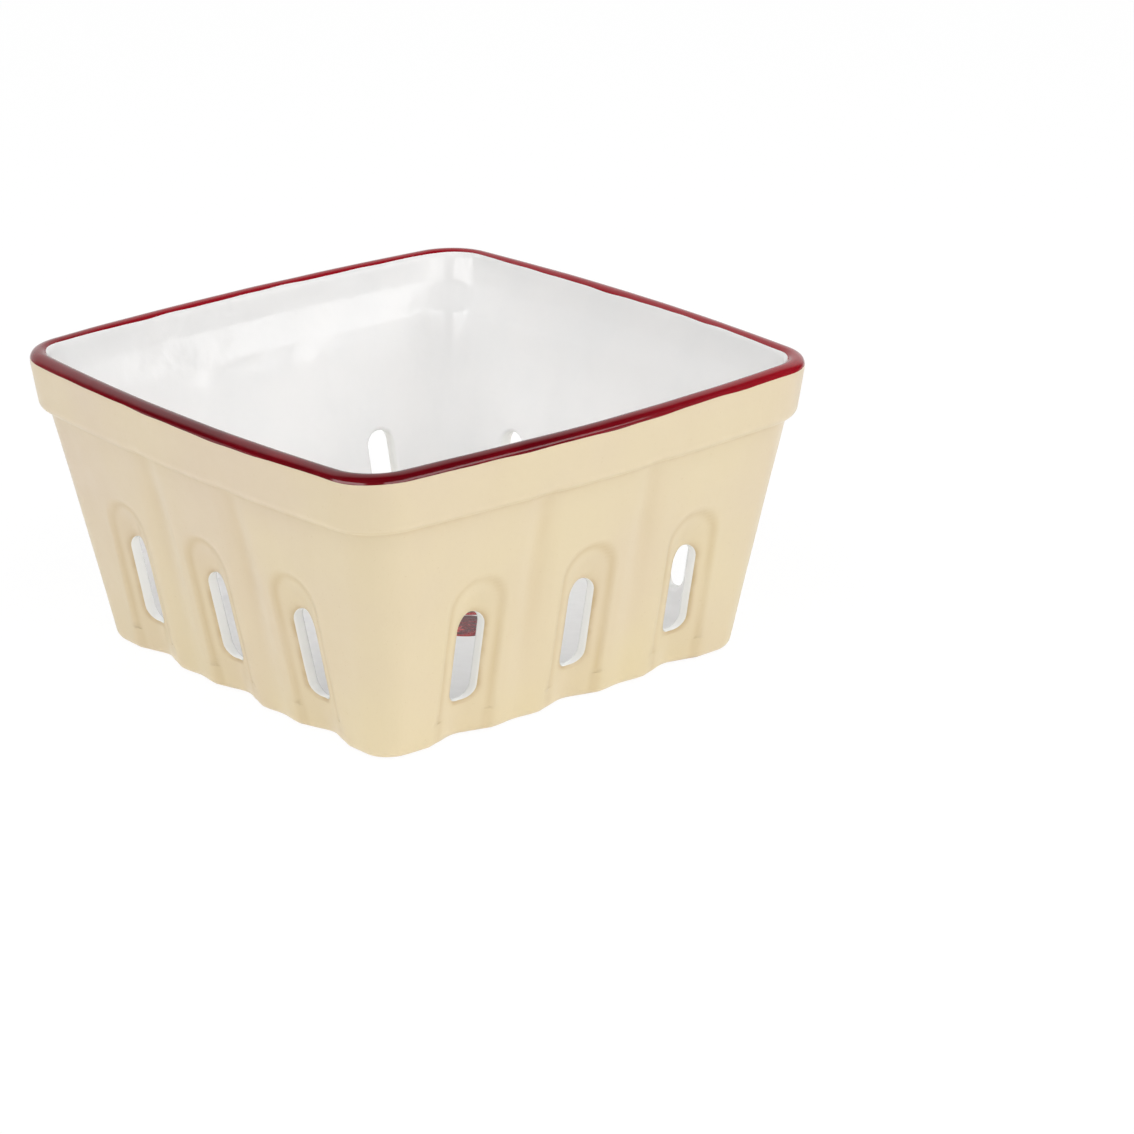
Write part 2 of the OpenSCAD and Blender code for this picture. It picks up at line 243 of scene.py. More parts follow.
def rounded_path(corners, step):
    """Points along straight runs joined by arcs. At a corner of radius r that turns by an
    angle, the arc begins r * tan(angle / 2) before the corner and ends as far past it."""
    points = [np.array(corners[0][:2])]
    for before, corner, after in zip(corners, corners[1:], corners[2:]):
        here = np.array(corner[:2])
        arrive = here - points[-1]
        arrive /= np.linalg.norm(arrive)
        leave = np.array(after[:2]) - here
        leave /= np.linalg.norm(leave)
        turn = math.atan2(arrive[0] * leave[1] - arrive[1] * leave[0], arrive @ leave)
        reach = corner[2] * math.tan(abs(turn) / 2)
        side = math.copysign(1, turn) * np.array([-arrive[1], arrive[0]])
        start = here - arrive * reach
        centre = start + side * corner[2]
        angles = np.linspace(0, turn, max(3, int(abs(turn) * corner[2] / step) + 2))
        spoke = start - centre
        cos, sin = np.cos(angles), np.sin(angles)
        arc = np.stack([spoke[0] * cos - spoke[1] * sin, spoke[0] * sin + spoke[1] * cos], 1)
        points.extend(centre + arc)
    points.append(np.array(corners[-1][:2]))
    return np.array(points)


class BowlForm:
    """The bowl's clay skin as functions of its sizes.

    A place on the skin is a distance along the profile, which runs from the middle of the
    underside, out, up the wall, over the lip and down to the floor, and a station round the
    plan, which is a square whose sides are shallow arcs met by round corners."""

    CELL_HALF = 0.013             # half the width of the patch that holds one slot
    OUTER_CELL = (0.007, 0.050)   # heights of that patch outside
    INNER_CELL = (0.0082, 0.046)  # and inside
    CELL_STEPS = (18, 26)         # faces across that patch, and up
    PATH_STEP = 0.0001            # fineness of the traced profile
    SLOTS = (-1, 0, 1)            # places of a side's three slots, in pitches
    TURN_START = 0.97             # share of a side at which its last fixed station may lie
    SHOULDER = (0.92, 0.16)       # where a recess steps down, and over what, in its radii
    RECESS_SHOWN = 1.3            # how much wider than outside a recess shows inside
    FLUTE_FADED = 0.6             # share of a flute's depth that is gone at the collar
    POOL = (0.9, 0.12, 0.55)      # where glaze gathers in a recess, how widely and how much
    FLUTE_POOL = 0.3              # how much gathers in a flute
    PEAK_REACH = 0.32             # how far round the bowl the rim's peak reaches, in radians
    SAG_START = 0.7               # share of the collar's height at which the sag begins
    SWAY = (3, 7, 11)             # waves of the ledge's unevenness round the bowl
    SWAY_SEED = 0.8

    def __init__(self, sizes):
        self.s = s = sizes
        self.foot_half = s.foot_width / 2 - s.glaze
        self.under_half = s.under_width / 2 - s.glaze
        self.rim_half = s.rim_width / 2 - s.glaze - s.bead
        self.lip = s.lip - s.glaze
        self.lip_z = s.height - s.lip
        self.lip_half = self.rim_half - self.lip
        self.collar_z = s.height - s.collar
        self.recess_r = s.recess_width / 2
        self.spring_z = s.recess_top - self.recess_r
        self.cell_end = self.SLOTS[-1] * s.slot_pitch + self.CELL_HALF
        self.trace_profile()

    def wall_half(self, z):
        """The wall leans outwards in a straight line from the foot to the collar."""
        return mix(self.foot_half, self.under_half, z / self.collar_z)

    def trace_profile(self):
        """Half widths and heights along the profile, as straight runs and arcs."""
        s = self.s
        lean = math.atan((self.under_half - self.foot_half) / self.collar_z)
        gap = s.wall / math.cos(lean)
        panel = self.wall_half(s.foot_edge) - s.foot_edge / math.cos(lean) - s.foot_ring
        soft = s.foot_hollow / 2
        collar_low = self.collar_z + s.collar_turn / 2
        face_half = self.wall_half(collar_low) + s.collar_step
        face = math.atan((self.rim_half - face_half) / (self.lip_z - collar_low))
        ledge_z = self.collar_z + s.ledge
        ledge_half = mix(self.wall_half(ledge_z) - gap, self.lip_half - self.lip, 0.5)
        inner = math.atan((self.lip_half - self.lip - ledge_half) / (self.lip_z - ledge_z))
        top = self.lip_z + self.lip
        lip_out = self.lip_half + self.lip * (1 + math.sin(face)) / math.cos(face)
        lip_in = self.lip_half - self.lip * (1 - math.sin(inner)) / math.cos(inner)
        turn_half = self.wall_half(s.floor) - gap
        corners = [
            (panel - s.foot_hollow * 2, s.foot_hollow, 0),
            (panel - s.foot_hollow, s.foot_hollow, soft),
            (panel, 0, soft),
            (self.foot_half, 0, s.foot_edge),
            (self.under_half, self.collar_z, s.collar_crease),
            (face_half, collar_low, s.collar_turn),
            (lip_out, top, self.lip),
            (lip_in, top, self.lip),
            (ledge_half, ledge_z, s.ledge_turn),
            (self.wall_half(self.collar_z) - gap, self.collar_z, s.ledge_turn),
            (turn_half, s.floor, s.floor_turn),
            (turn_half - s.floor_turn * 1.2, s.floor, 0),
        ]
        path = rounded_path(corners, self.PATH_STEP)
        self.path_half, self.path_z = path[:, 0], path[:, 1]
        self.path_at = running_length(path)
        self.top_index = int(np.argmax(self.path_z))
        standing = np.flatnonzero(self.path_z[:self.top_index] < self.PATH_STEP / 100)
        self.ring_first, self.ring_last = int(standing[0]), int(standing[-1])
        self.at_top = self.path_at[self.top_index]
        self.at_end = self.path_at[-1]
        self.collar_top = collar_low + s.collar_turn

    def at_outside(self, z):
        """Distance along the profile of a height on the outside."""
        part = slice(self.ring_last, self.top_index + 1)
        return np.interp(z, self.path_z[part], self.path_at[part])

    def at_inside(self, z):
        """Distance along the profile of a height on the inside."""
        part = slice(self.top_index, None)
        return np.interp(-np.asarray(z), -self.path_z[part], self.path_at[part])

    def relief(self, station, z):
        """Depth pressed into the outside of a wall: a recess under an arch round each slot,
        which steps down at its shoulder and is hollow towards its middle, and a flute midway
        between two slots that deepens towards the collar. Also how far it shows inside."""
        s = self.s
        slot = np.clip(np.round(station / s.slot_pitch), self.SLOTS[0], self.SLOTS[-1])
        across = station - slot * s.slot_pitch
        rho = np.hypot(across, np.maximum(0, z - self.spring_z)) / self.recess_r
        shoulder = 1 - smooth((rho - self.SHOULDER[0]) / self.SHOULDER[1])
        flute = hump((np.abs(station) - s.slot_pitch / 2) / (s.flute_width / 2))
        rise = np.clip(z / self.collar_z, 0, 1)
        faded = 1 - self.FLUTE_FADED * smooth((z - self.collar_z + s.flute_fade) / s.flute_fade)
        pressed = (s.recess_step * shoulder + s.recess_hollow * hump(rho)
                   + mix(s.flute_foot, s.flute_depth, rise) * flute * faded)
        shown = s.recess_bulge * hump(rho / self.RECESS_SHOWN) + s.flute_bulge * flute * rise
        return pressed, shown

    def gathering(self, points):
        """How far glaze has run together at points of the outside: a line along the foot of
        each recess's shoulder, which is a bell curve across it, and a soft streak down the
        middle of each flute."""
        s = self.s
        quarter = np.round(np.arctan2(points[:, 1], points[:, 0]) / (np.pi / 2)) * np.pi / 2
        station = points[:, 1] * np.cos(quarter) - points[:, 0] * np.sin(quarter)
        z = points[:, 2]
        slot = np.clip(np.round(station / s.slot_pitch), self.SLOTS[0], self.SLOTS[-1])
        rho = np.hypot(station - slot * s.slot_pitch, np.maximum(0, z - self.spring_z))
        place, width, most = self.POOL
        line = most * np.exp(-((rho / self.recess_r - place) / width) ** 2)
        flute = hump((np.abs(station) - s.slot_pitch / 2) / (s.flute_width / 3))
        low = smooth((self.collar_z + s.collar_turn - z) / s.collar_turn)
        streak = flute * smooth((z - s.slot_bottom) / s.slot_top) * self.FLUTE_POOL
        return np.maximum(line, streak) * low

    def corner_radius(self, at, half, rise):
        """Radius of the plan's corners. Outside it grows as the wall and the collar stand
        out, and over the lip it eases into the inner one, which is tighter."""
        s = self.s
        outer = (mix(s.foot_corner, s.rim_corner, rise) + half
                 - mix(self.foot_half, self.rim_half, rise))
        outer = np.maximum(s.foot_corner / 2, outer)
        inner = mix(s.floor_corner, s.rim_corner - 2 * s.lip + s.lip_corner, rise)
        inside = smooth((at - self.at_top) / (np.pi / 2 * self.lip))
        return mix(outer, inner, inside)

    def depth_of_relief(self, at, z, station, stretch):
        """How deep a side lies under its plain arc: outside by the whole relief, up to the
        collar, and inside by what shows of it between the floor and the ledge."""
        s = self.s
        pressed, shown = self.relief(station, z)
        under_collar = 1 - smooth((z - self.collar_z) / (self.collar_top - self.collar_z))
        below_ledge = smooth((self.collar_z - z) / s.ledge)
        above_floor = smooth((z - s.floor) / s.floor_turn)
        depth = np.where(at < self.at_top, pressed * under_collar,
                         shown * below_ledge * above_floor)
        from_ring = smooth((at - self.path_at[self.ring_first]) / s.foot_ring)
        return depth * (1 - np.abs(stretch)) * from_ring

    def depth_of_ledge(self, at, z, round_plan, along, side_end):
        """How uneven the inner ledge is: slow waves along a side that fade at its ends."""
        waves = sway(round_plan, self.SWAY, self.SWAY_SEED)
        on_ledge = hump((z - self.collar_z) / self.s.ledge) * (at > self.at_top)
        to_corner = smooth(3 * np.abs(along) / side_end - 2)
        return self.s.ledge_wave * waves * on_ledge * (1 - to_corner)

    def place(self, at, station, stretch, turn, side):
        """The point at a distance along the profile and a station round the plan.

        A side is an arc of radius half^2 / (2 * bow) about a centre on the side's own axis,
        and a corner is an arc about a centre on the diagonal, tangent to both. A station is
        a length along the side; stretch carries the last ones out to where the corner
        begins; turn, where it is a number, is a share of the way round the corner."""
        s = self.s
        half = np.interp(at, self.path_at, self.path_half)
        z = np.interp(at, self.path_at, self.path_z)
        rise = z / s.height
        corner_r = self.corner_radius(at, half, rise)
        side_r = half ** 2 / (2 * mix(s.foot_bow, s.rim_bow, rise))
        side_x = half - side_r
        corner = (side_x + np.sqrt(2 * (side_r - corner_r) ** 2 - side_x ** 2)) / 2
        reach = np.pi / 2 - np.arctan2(corner - side_x, corner)
        side_end = side_r * reach
        squeeze = np.minimum(1, self.TURN_START * side_end / self.cell_end)
        along = station * squeeze + stretch * (side_end - self.cell_end * squeeze)
        on_side = np.isnan(turn)
        share = np.where(on_side, 0, turn)
        angle = np.where(on_side, along / side_r, mix(reach, np.pi / 2 - reach, share))
        depth = (self.depth_of_relief(at, z, station, stretch)
                 + self.depth_of_ledge(at, z, angle + side, along, side_end))
        centre_x = np.where(on_side, side_x, corner)
        centre_y = np.where(on_side, 0, corner)
        radius = np.where(on_side, side_r - depth, corner_r)
        x = centre_x + radius * np.cos(angle)
        y = centre_y + radius * np.sin(angle)
        cos, sin = np.cos(side), np.sin(side)
        x, y = x * cos - y * sin, x * sin + y * cos
        return np.stack(np.broadcast_arrays(x, y, z - self.sag(x, y, z)), -1)

    def sag(self, x, y, z):
        """How far the rim has sunk: nothing at its peak, and the whole away from it."""
        away = np.arctan2(y, x) - self.s.rim_peak
        away = np.arctan2(np.sin(away), np.cos(away))
        return (self.s.rim_sag * (1 - np.exp(-(away / self.PEAK_REACH) ** 2))
                * smooth((z / self.collar_z - self.SAG_START) / (1 - self.SAG_START)))

    def slot_outline(self, across, up):
        """A slot's outline in the clay, as points and outward directions, anticlockwise from
        its lower left corner: a half circle on two straight sides, and small round corners
        below. Its four stretches have across, up, across and up steps."""
        s = self.s
        half = s.slot_width / 2
        low_x, low_z = half - s.slot_corner, s.slot_bottom + s.slot_corner
        arch_z = s.slot_top - half
        quarter = np.pi / 4

        def stretch(runs, steps):
            """Steps of even length along arcs, given as centre, radius and two angles."""
            ends = [(np.array([x + r * math.cos(a), z + r * math.sin(a)]), a)
                    for x, z, r, first, last in runs
                    for a in np.linspace(first, last, 13)]
            points = np.array([p for p, a in ends])
            angles = np.array([a for p, a in ends])
            gone = running_length(points)
            want = steps_to(0, gone[-1], steps)
            angle = np.interp(want, gone, angles)
            return (np.stack([np.interp(want, gone, points[:, k]) for k in (0, 1)], 1),
                    np.stack([np.cos(angle), np.sin(angle)], 1))

        corner, full = s.slot_corner, np.pi
        parts = [
            stretch([(-low_x, low_z, corner, -3 * quarter, -2 * quarter),
                     (low_x, low_z, corner, -2 * quarter, -quarter)], across),
            stretch([(low_x, low_z, corner, -quarter, 0), (0, arch_z, half, 0, quarter)], up),
            stretch([(0, arch_z, half, quarter, 3 * quarter)], across),
            stretch([(0, arch_z, half, 3 * quarter, full),
                     (-low_x, low_z, corner, full, full + quarter)], up),
        ]
        return np.concatenate([p for p, n in parts]), np.concatenate([n for p, n in parts])


class Skin:
    """A closed surface gathered patch by patch. Each patch is a grid of vertex numbers, and
    neighbouring patches share the numbers along their common edge."""

    def __init__(self):
        self.points, self.edge_of_slot, self.count = [], [], 0
        self.faces, self.labels = [], []

    def add(self, points, slot_edge=0.0):
        """Stores points of any grid shape and returns their numbers in that shape."""
        shape = points.shape[:-1]
        total = int(np.prod(shape))
        self.points.append(points.reshape(-1, 3))
        self.edge_of_slot.append(np.broadcast_to(slot_edge, shape).reshape(-1))
        numbers = np.arange(self.count, self.count + total).reshape(shape)
        self.count += total
        return numbers

    def quads(self, low_left, low_right, high_right, high_left, label):
        """Stores quads, each with the label of its coat."""
        faces = np.stack([low_left, low_right, high_right, high_left], -1).reshape(-1, 4)
        self.faces.append(faces)
        self.labels.append(np.broadcast_to(label, low_left.shape).reshape(-1))

    def finish(self):
        """Joins what was stored, and drops the vertices that no face has."""
        self.points = np.concatenate(self.points)
        self.edge_of_slot = np.concatenate(self.edge_of_slot)
        self.faces = np.concatenate(self.faces)
        self.labels = np.concatenate(self.labels)
        used = np.zeros(self.count, bool)
        used[self.faces] = True
        renumber = self.renumber = np.cumsum(used) - 1
        self.points = self.points[used]
        self.edge_of_slot = self.edge_of_slot[used]
        self.faces = renumber[self.faces]
        self.count = len(self.points)


def point_normals(points, faces):
    """Each vertex's direction: the sum of its faces' normals, which the cross product of a
    quad's diagonals weights by area."""
    normal = np.cross(points[faces[:, 2]] - points[faces[:, 0]],
                      points[faces[:, 3]] - points[faces[:, 1]])
    total = np.stack([np.bincount(faces.ravel(), np.repeat(normal[:, k], 4), len(points))
                      for k in range(3)], 1)
    return total / np.maximum(np.linalg.norm(total, axis=1, keepdims=True), 1e-20)


def hollowness(points, normals, faces, passes):
    """How hollow the surface is at each vertex, per millimetre: the mean over its edges of
    twice the edge's height along the normal over its length squared, spread a few vertices
    wide. It is above 0 in a hollow and below 0 on an edge."""
    a = faces.ravel()
    b = np.roll(faces, -1, 1).ravel()
    start, end = np.concatenate([a, b]), np.concatenate([b, a])
    edge = points[end] - points[start]
    bend = 2 * np.sum(edge * normals[start], 1) / np.maximum(np.sum(edge ** 2, 1), 1e-14)
    number = np.bincount(start, minlength=len(points))
    value = np.bincount(start, bend, len(points)) / number * 0.001
    for _ in range(passes):
        value = mix(value, np.bincount(start, value[end], len(points)) / number, 0.6)
    return value


class Coat:
    """Labels of the skin's faces: the coat that lies there, or bare clay."""
    CLAY, EXTERIOR, BAND, INTERIOR, SLOT, UNDERSIDE = range(6)


class BowlSkin(Skin):
    """The whole clay skin of the bowl, at a given fineness."""

    RING_REACH = (0.004, 0.4)    # how far rings keep a slot's form: a length, a share of room
    RING_EASE = 1.3              # power by which they turn into the patch's edge
    WALL_STEPS = (7, 6, 7)       # faces between patches, beside the last, in half a corner
    SLOT_STEPS = (16, 8, 6, 10)  # rings on the outside, round an edge, through, on the inside
    GLAZE_START = 0.25           # where the glaze begins, as a share of the foot's edge
    EDGE_WANDER = 0.09           # how unevenly a slot's edges turn, in radians
    EDGE_BREAK = 0.4             # how far the glaze has broken where a slot's edge begins
    BREAK_FADE = (16, 1.5)       # how fast that fades outwards, and its power
    SLOT_SEAMS = (0.6, 0.5)      # how far round its outer and inner edge a slot's lining goes
    PASSES = 8                   # how many vertices wide its hollowness is spread

    def __init__(self, form, detail):
        super().__init__()
        self.form, self.detail = form, detail
        self.lay_columns()
        self.lay_rows()
        self.lay_grid()
        for side in range(4):
            for slot in range(3):
                self.lay_slot(side, slot)
        self.lay_panel(self.grid[0], Coat.UNDERSIDE, False)
        self.lay_panel(self.grid[-1], Coat.INTERIOR, True)
        self.finish()
        self.grid = self.renumber[self.grid]
        self.normals = point_normals(self.points, self.faces)
        self.knead()
        self.normals = point_normals(self.points, self.faces)

    @cached_property
    def hollow(self):
        """How hollow the skin is at each vertex."""
        return hollowness(self.points, self.normals, self.faces, self.PASSES)

    def steps(self, count):
        """A number of faces at this skin's fineness."""
        return max(1, int(round(count * self.detail)))

    def lay_columns(self):
        """Stations round the plan, side by side: the way out to the first slot's patch, the
        three patches and the walls between them, the way out again and the corner."""
        form = self.form
        pitch, half = form.s.slot_pitch, form.CELL_HALF
        self.cell_across = self.steps(form.CELL_STEPS[0])
        between, outer, half_corner = (self.steps(count) for count in self.WALL_STEPS)
        corner = 2 * half_corner
        stations = [form.cell_end * -np.ones(outer)]
        self.cell_columns = []
        count = outer
        for slot in form.SLOTS:
            middle = slot * pitch
            self.cell_columns.append(count)
            stations.append(steps_to(middle - half, middle + half, self.cell_across))
            count += self.cell_across
            if slot != form.SLOTS[-1]:
                stations.append(steps_to(middle + half, middle + pitch - half, between))
                count += between
        stations.append(form.cell_end * np.ones(outer + 1))
        side = np.concatenate(stations)
        stretch = np.zeros(len(side))
        stretch[:outer] = -steps_to(1, 0, outer)
        stretch[-outer - 1:] = np.linspace(0, 1, outer + 1)
        turn = np.concatenate([np.full(len(side), np.nan), np.linspace(0, 1, corner + 1)[1:-1]])
        gap = np.zeros(corner - 1)
        self.side_columns = len(turn)
        self.corner_middle = len(side) - 1 + corner // 2
        self.station = np.tile(np.concatenate([side, gap]), 4)
        self.stretch = np.tile(np.concatenate([stretch, gap]), 4)
        self.turn = np.tile(turn, 4)
        self.side = np.repeat(np.arange(4) * np.pi / 2, self.side_columns)

    def lay_rows(self):
        """Distances along the profile, close together where it turns. They lie on stretches,
        given by where each ends, its number of faces and its coat."""
        form, s = self.form, self.form.s
        outside, inside = form.at_outside, form.at_inside
        self.at_glaze = outside(s.foot_edge * self.GLAZE_START)
        self.at_band_out = outside(s.height - s.band_out)
        self.at_band_in = inside(s.height - s.band_in)
        near_collar, near_ledge = 0.0012, 0.001
        outer_low, outer_high = (outside(z) for z in form.OUTER_CELL)
        inner_low, inner_high = (inside(z) for z in form.INNER_CELL)
        ends = [
            (form.path_at[form.ring_first], 8, Coat.CLAY),
            (outside(s.foot_edge * 0.05), 6, Coat.CLAY),
            (self.at_glaze, 4, Coat.CLAY),
            (outside(s.foot_edge), 7, Coat.EXTERIOR),
            (outer_low, 4, Coat.EXTERIOR),
            (outer_high, form.CELL_STEPS[1], Coat.EXTERIOR),
            (outside(form.collar_z - near_collar), 10, Coat.EXTERIOR),
            (outside(form.collar_top), 16, Coat.EXTERIOR),
            (self.at_band_out, 9, Coat.EXTERIOR),
            (form.at_top, 12, Coat.BAND),
            (self.at_band_in, 8, Coat.BAND),
            (inside(form.lip_z - s.lip / 4), 6, Coat.INTERIOR),
            (inside(form.collar_z + s.ledge + near_ledge), 4, Coat.INTERIOR),
            (inside(form.collar_z - near_ledge), 10, Coat.INTERIOR),
            (inner_high, 13, Coat.INTERIOR),
            (inner_low, form.CELL_STEPS[1], Coat.INTERIOR),
            (form.at_end, 9, Coat.INTERIOR),
        ]
        rows, self.row_coat, first_row, first = [], [], {}, 0.0
        for last, count, coat in ends:
            count = self.steps(count)
            first_row[float(first)] = len(self.row_coat)
            rows.append(steps_to(first, last, count))
            self.row_coat += [coat] * count
            first = last
        self.rows = np.concatenate(rows + [[form.at_end]])
        self.outer_row = first_row[float(outer_low)]
        self.inner_row = first_row[float(inner_high)]
        self.cell_up = self.steps(form.CELL_STEPS[1])

    def lay_grid(self):
        """The rows carried round the plan. A row near a brushed edge moves along the profile
        by a sway that is full at the edge and fades to nothing on both sides of it."""
        form, s = self.form, self.form.s
        total = len(self.station)
        round_plan = np.arange(total) / total * 2 * np.pi
        fade = s.band_out
        at = self.rows[:, None] + np.zeros((1, total))
        for edge, waves, seed, reach in (
                (self.at_band_out, (5, 9, 14, 23, 37), 1.3, fade),
                (self.at_band_in, (4, 7, 16, 27, 41), 2.9, fade),
                (self.at_glaze, (6, 11, 19, 31), 4.1, s.foot_edge / 2)):
            weight = np.clip(1 - np.abs(self.rows - edge) / reach, 0, 1)
            at = at + s.brush_wave * weight[:, None] * sway(round_plan, waves, seed)[None, :]
        points = form.place(at, self.station[None, :], self.stretch[None, :],
                            self.turn[None, :], self.side[None, :])
        self.grid = self.add(points)
        keep = np.ones((len(self.rows) - 1, total), bool)
        for side in range(4):
            for column in self.cell_columns:
                first = side * self.side_columns + column
                for row in (self.outer_row, self.inner_row):
                    keep[row:row + self.cell_up, first:first + self.cell_across] = False
        nxt = np.roll(self.grid, -1, 1)
        coat = np.array(self.row_coat)[:, None] + np.zeros((1, total), int)
        self.quads(self.grid[:-1][keep], nxt[:-1][keep], nxt[1:][keep], self.grid[1:][keep],
                   coat[keep])

    def cell_loop(self, side, slot, row, upwards):
        """Numbers of the grid's vertices round one slot's patch, anticlockwise from its lower
        left corner as seen from outside."""
        first = side * self.side_columns + self.cell_columns[slot]
        columns = (first + np.arange(self.cell_across + 1)) % len(self.station)
        rows = row + np.arange(self.cell_up + 1)
        if not upwards:
            rows = rows[::-1]
        block = self.grid[np.ix_(rows, columns)]
        return np.concatenate([block[0, :-1], block[:-1, -1], block[-1, :0:-1], block[:0:-1, 0]])

    def cell_frame(self, slot, heights):
        """Stations and heights of that loop."""
        form = self.form
        middle = form.SLOTS[slot] * form.s.slot_pitch
        x = np.linspace(-form.CELL_HALF, form.CELL_HALF, self.cell_across + 1)
        z = heights
        left, right = np.full(self.cell_up, x[0]), np.full(self.cell_up, x[-1])
        low, high = np.full(self.cell_across, z[0]), np.full(self.cell_across, z[-1])
        return np.stack([np.concatenate([x[:-1], right, x[:0:-1], left]) + middle,
                         np.concatenate([low, z[:-1], high, z[:0:-1]])], 1)

    def lay_slot(self, side, slot):
        """Rings from the patch's edge on the outside, in to the slot, round its outer edge,
        through the wall, round its inner edge and out to the patch's edge on the inside.

        Beside the slot a ring is the outline moved out by a distance, never more than the
        room there, which turns into the patch's edge as a power of the way there. Round an
        edge of radius r, at an angle f from the wall's face, a ring lies r * (1 - sin f) off
        the outline and r * (1 - cos f) deep, and through the wall the rings are even."""
        form, s = self.form, self.form.s
        outline, outward = form.slot_outline(self.cell_across, self.cell_up)
        outline = outline + [form.SLOTS[slot] * s.slot_pitch, 0] + outward * s.glaze
        turn_by = side * np.pi / 2
        rows_out = self.rows[self.outer_row:self.outer_row + self.cell_up + 1]
        rows_in = self.rows[self.inner_row:self.inner_row + self.cell_up + 1][::-1]
        frames = [self.cell_frame(slot, np.interp(rows, form.path_at, form.path_z))
                  for rows in (rows_out, rows_in)]
        around = np.arange(len(outline)) / len(outline) * 2 * np.pi
        wander = self.EDGE_WANDER * sway(around, (2, 3, 5, 8), side * 3 + slot + 0.5)
        out_steps, fine, tube_steps, in_steps = (self.steps(count) for count in self.SLOT_STEPS)
        fine, tube_steps = max(3, fine), max(3, tube_steps)
        angles = np.linspace(0, np.pi / 2, fine + 1)

        def on_face(flat, inside):
            """The wall's face at stations and heights."""
            at = form.at_inside(flat[..., 1]) if inside else form.at_outside(flat[..., 1])
            return form.place(at, flat[..., 0], 0.0, np.nan, turn_by)

        def field(frame, radius, shares):
            """Rings between the outline and the patch's edge, at shares of the way."""
            share = shares[:, None, None]
            farthest, of_room = self.RING_REACH
            room = np.linalg.norm(frame - outline, axis=1, keepdims=True) - radius
            away = radius + share * np.minimum(farthest, of_room * room)
            return mix(outline + outward * away, frame, share ** self.RING_EASE)

        through = on_face(outline, False) - on_face(outline, True)
        axis = through / np.linalg.norm(through, axis=1, keepdims=True)

        def edge(radius, inside):
            """Rings round an edge, from the wall's face into the slot. Each ring's angle is
            moved by the wander, most in the middle of the turn."""
            angle = (angles[:, None] + wander * np.sin(2 * angles)[:, None])[:, :, None]
            flat = outline + outward * radius * (1 - np.sin(angle))
            deep = radius * (1 - np.cos(angle)) * (1 if inside else -1)
            return on_face(flat, inside) + axis * deep

        out_shares = np.linspace(0, 1, out_steps + 1)[-2:0:-1]
        in_shares = np.linspace(0, 1, in_steps + 1)[1:-1]
        outer_field = on_face(field(frames[0], s.slot_edge, out_shares), False)
        inner_field = on_face(field(frames[1], s.slot_inner_edge, in_shares), True)
        outer_edge = edge(s.slot_edge, False)
        inner_edge = edge(s.slot_inner_edge, True)[::-1]
        through_shares = np.linspace(0, 1, tube_steps + 1)[1:-1, None, None]
        tube = mix(outer_edge[-1], inner_edge[0], through_shares)
        rings = np.concatenate([outer_field, outer_edge, tube, inner_edge, inner_field])
        fade, power = self.BREAK_FADE
        broken = np.concatenate([
            self.EDGE_BREAK * np.exp(-((out_shares * fade) ** power)),
            mix(self.EDGE_BREAK, 1.0, angles / angles[-1]),
            np.zeros(len(tube) + len(inner_edge) + len(inner_field))])
        numbers = self.add(rings, broken[:, None])
        first = self.cell_loop(side, slot, self.outer_row, True)
        last = self.cell_loop(side, slot, self.inner_row, False)
        numbers = np.concatenate([first[None], numbers, last[None]])
        seam_out, seam_in = (int(round(fine * share)) for share in self.SLOT_SEAMS)
        seam_out += 1 + len(outer_field)
        seam_in += 1 + len(outer_field) + len(outer_edge) + len(tube)
        ring = np.arange(len(numbers) - 1)
        coat = np.where(ring < seam_out, Coat.EXTERIOR,
                        np.where(ring < seam_in, Coat.SLOT, Coat.INTERIOR))
        nxt = np.roll(numbers, -1, 1)
        self.quads(numbers[:-1], nxt[:-1], nxt[1:], numbers[1:], coat[:, None])

    def lay_panel(self, loop, coat, upwards):
        """A flat panel inside a loop of vertices, as a Coons patch: the sum of the two ways
        of drawing straight lines between opposite edges, less the patch drawn from the four
        corners alone. The patch's corners are the middles of the loop's round corners."""
        loop = np.roll(loop, self.side_columns - self.corner_middle)
        n = self.side_columns
        known = np.concatenate(self.points)
        edge = [loop[np.arange(k * n, (k + 1) * n + 1) % len(loop)] for k in range(4)]
        right, top, left, bottom = edge[0], edge[1][::-1], edge[2][::-1], edge[3]
        u = np.linspace(0, 1, n + 1)[:, None, None]
        v = np.linspace(0, 1, n + 1)[None, :, None]
        p_left, p_right = known[left][None, :], known[right][None, :]
        p_low, p_high = known[bottom][:, None], known[top][:, None]
        corners = mix(mix(p_low[0], p_low[-1], u[:, 0])[:, None],
                      mix(p_high[0], p_high[-1], u[:, 0])[:, None], v)
        patch = mix(p_left, p_right, u) + mix(p_low, p_high, v) - corners
        numbers = np.zeros((n + 1, n + 1), int)
        numbers[1:-1, 1:-1] = self.add(patch[1:-1, 1:-1])
        numbers[0, :], numbers[-1, :] = left, right
        numbers[:, 0], numbers[:, -1] = bottom, top
        a, b = numbers[:-1, :-1], numbers[1:, :-1]
        c, d = numbers[1:, 1:], numbers[:-1, 1:]
        if not upwards:
            b, d = d, b
        self.quads(a, b, c, d, coat)

    def knead(self):
        """Presses the clay in here and there by a slow sum of sines, as hands and a mould
        leave it, and not at all at the foot or on the floor."""
        s = self.form.s
        x, y, z = self.points.T * 2 * np.pi
        swell = (np.sin(x / 0.031 + 1.1) * np.cos(z / 0.037) + np.sin(y / 0.027 + 0.4)
                 + np.cos((x + y) / 0.043 + z / 0.029) + np.sin((x - y) / 0.019 + z / 0.047) / 2)
        deep = s.hand_wave * (0.5 - swell / 7)
        height = self.points[:, 2]
        free = np.where(self.normals[:, 2] > 0.5, smooth((height - s.floor) / s.floor_turn),
                        smooth(height / s.foot_edge))
        self.points = self.points - self.normals * (deep * free)[:, None]


SKINS = {}   # the skins worked out so far, by fineness and sizes


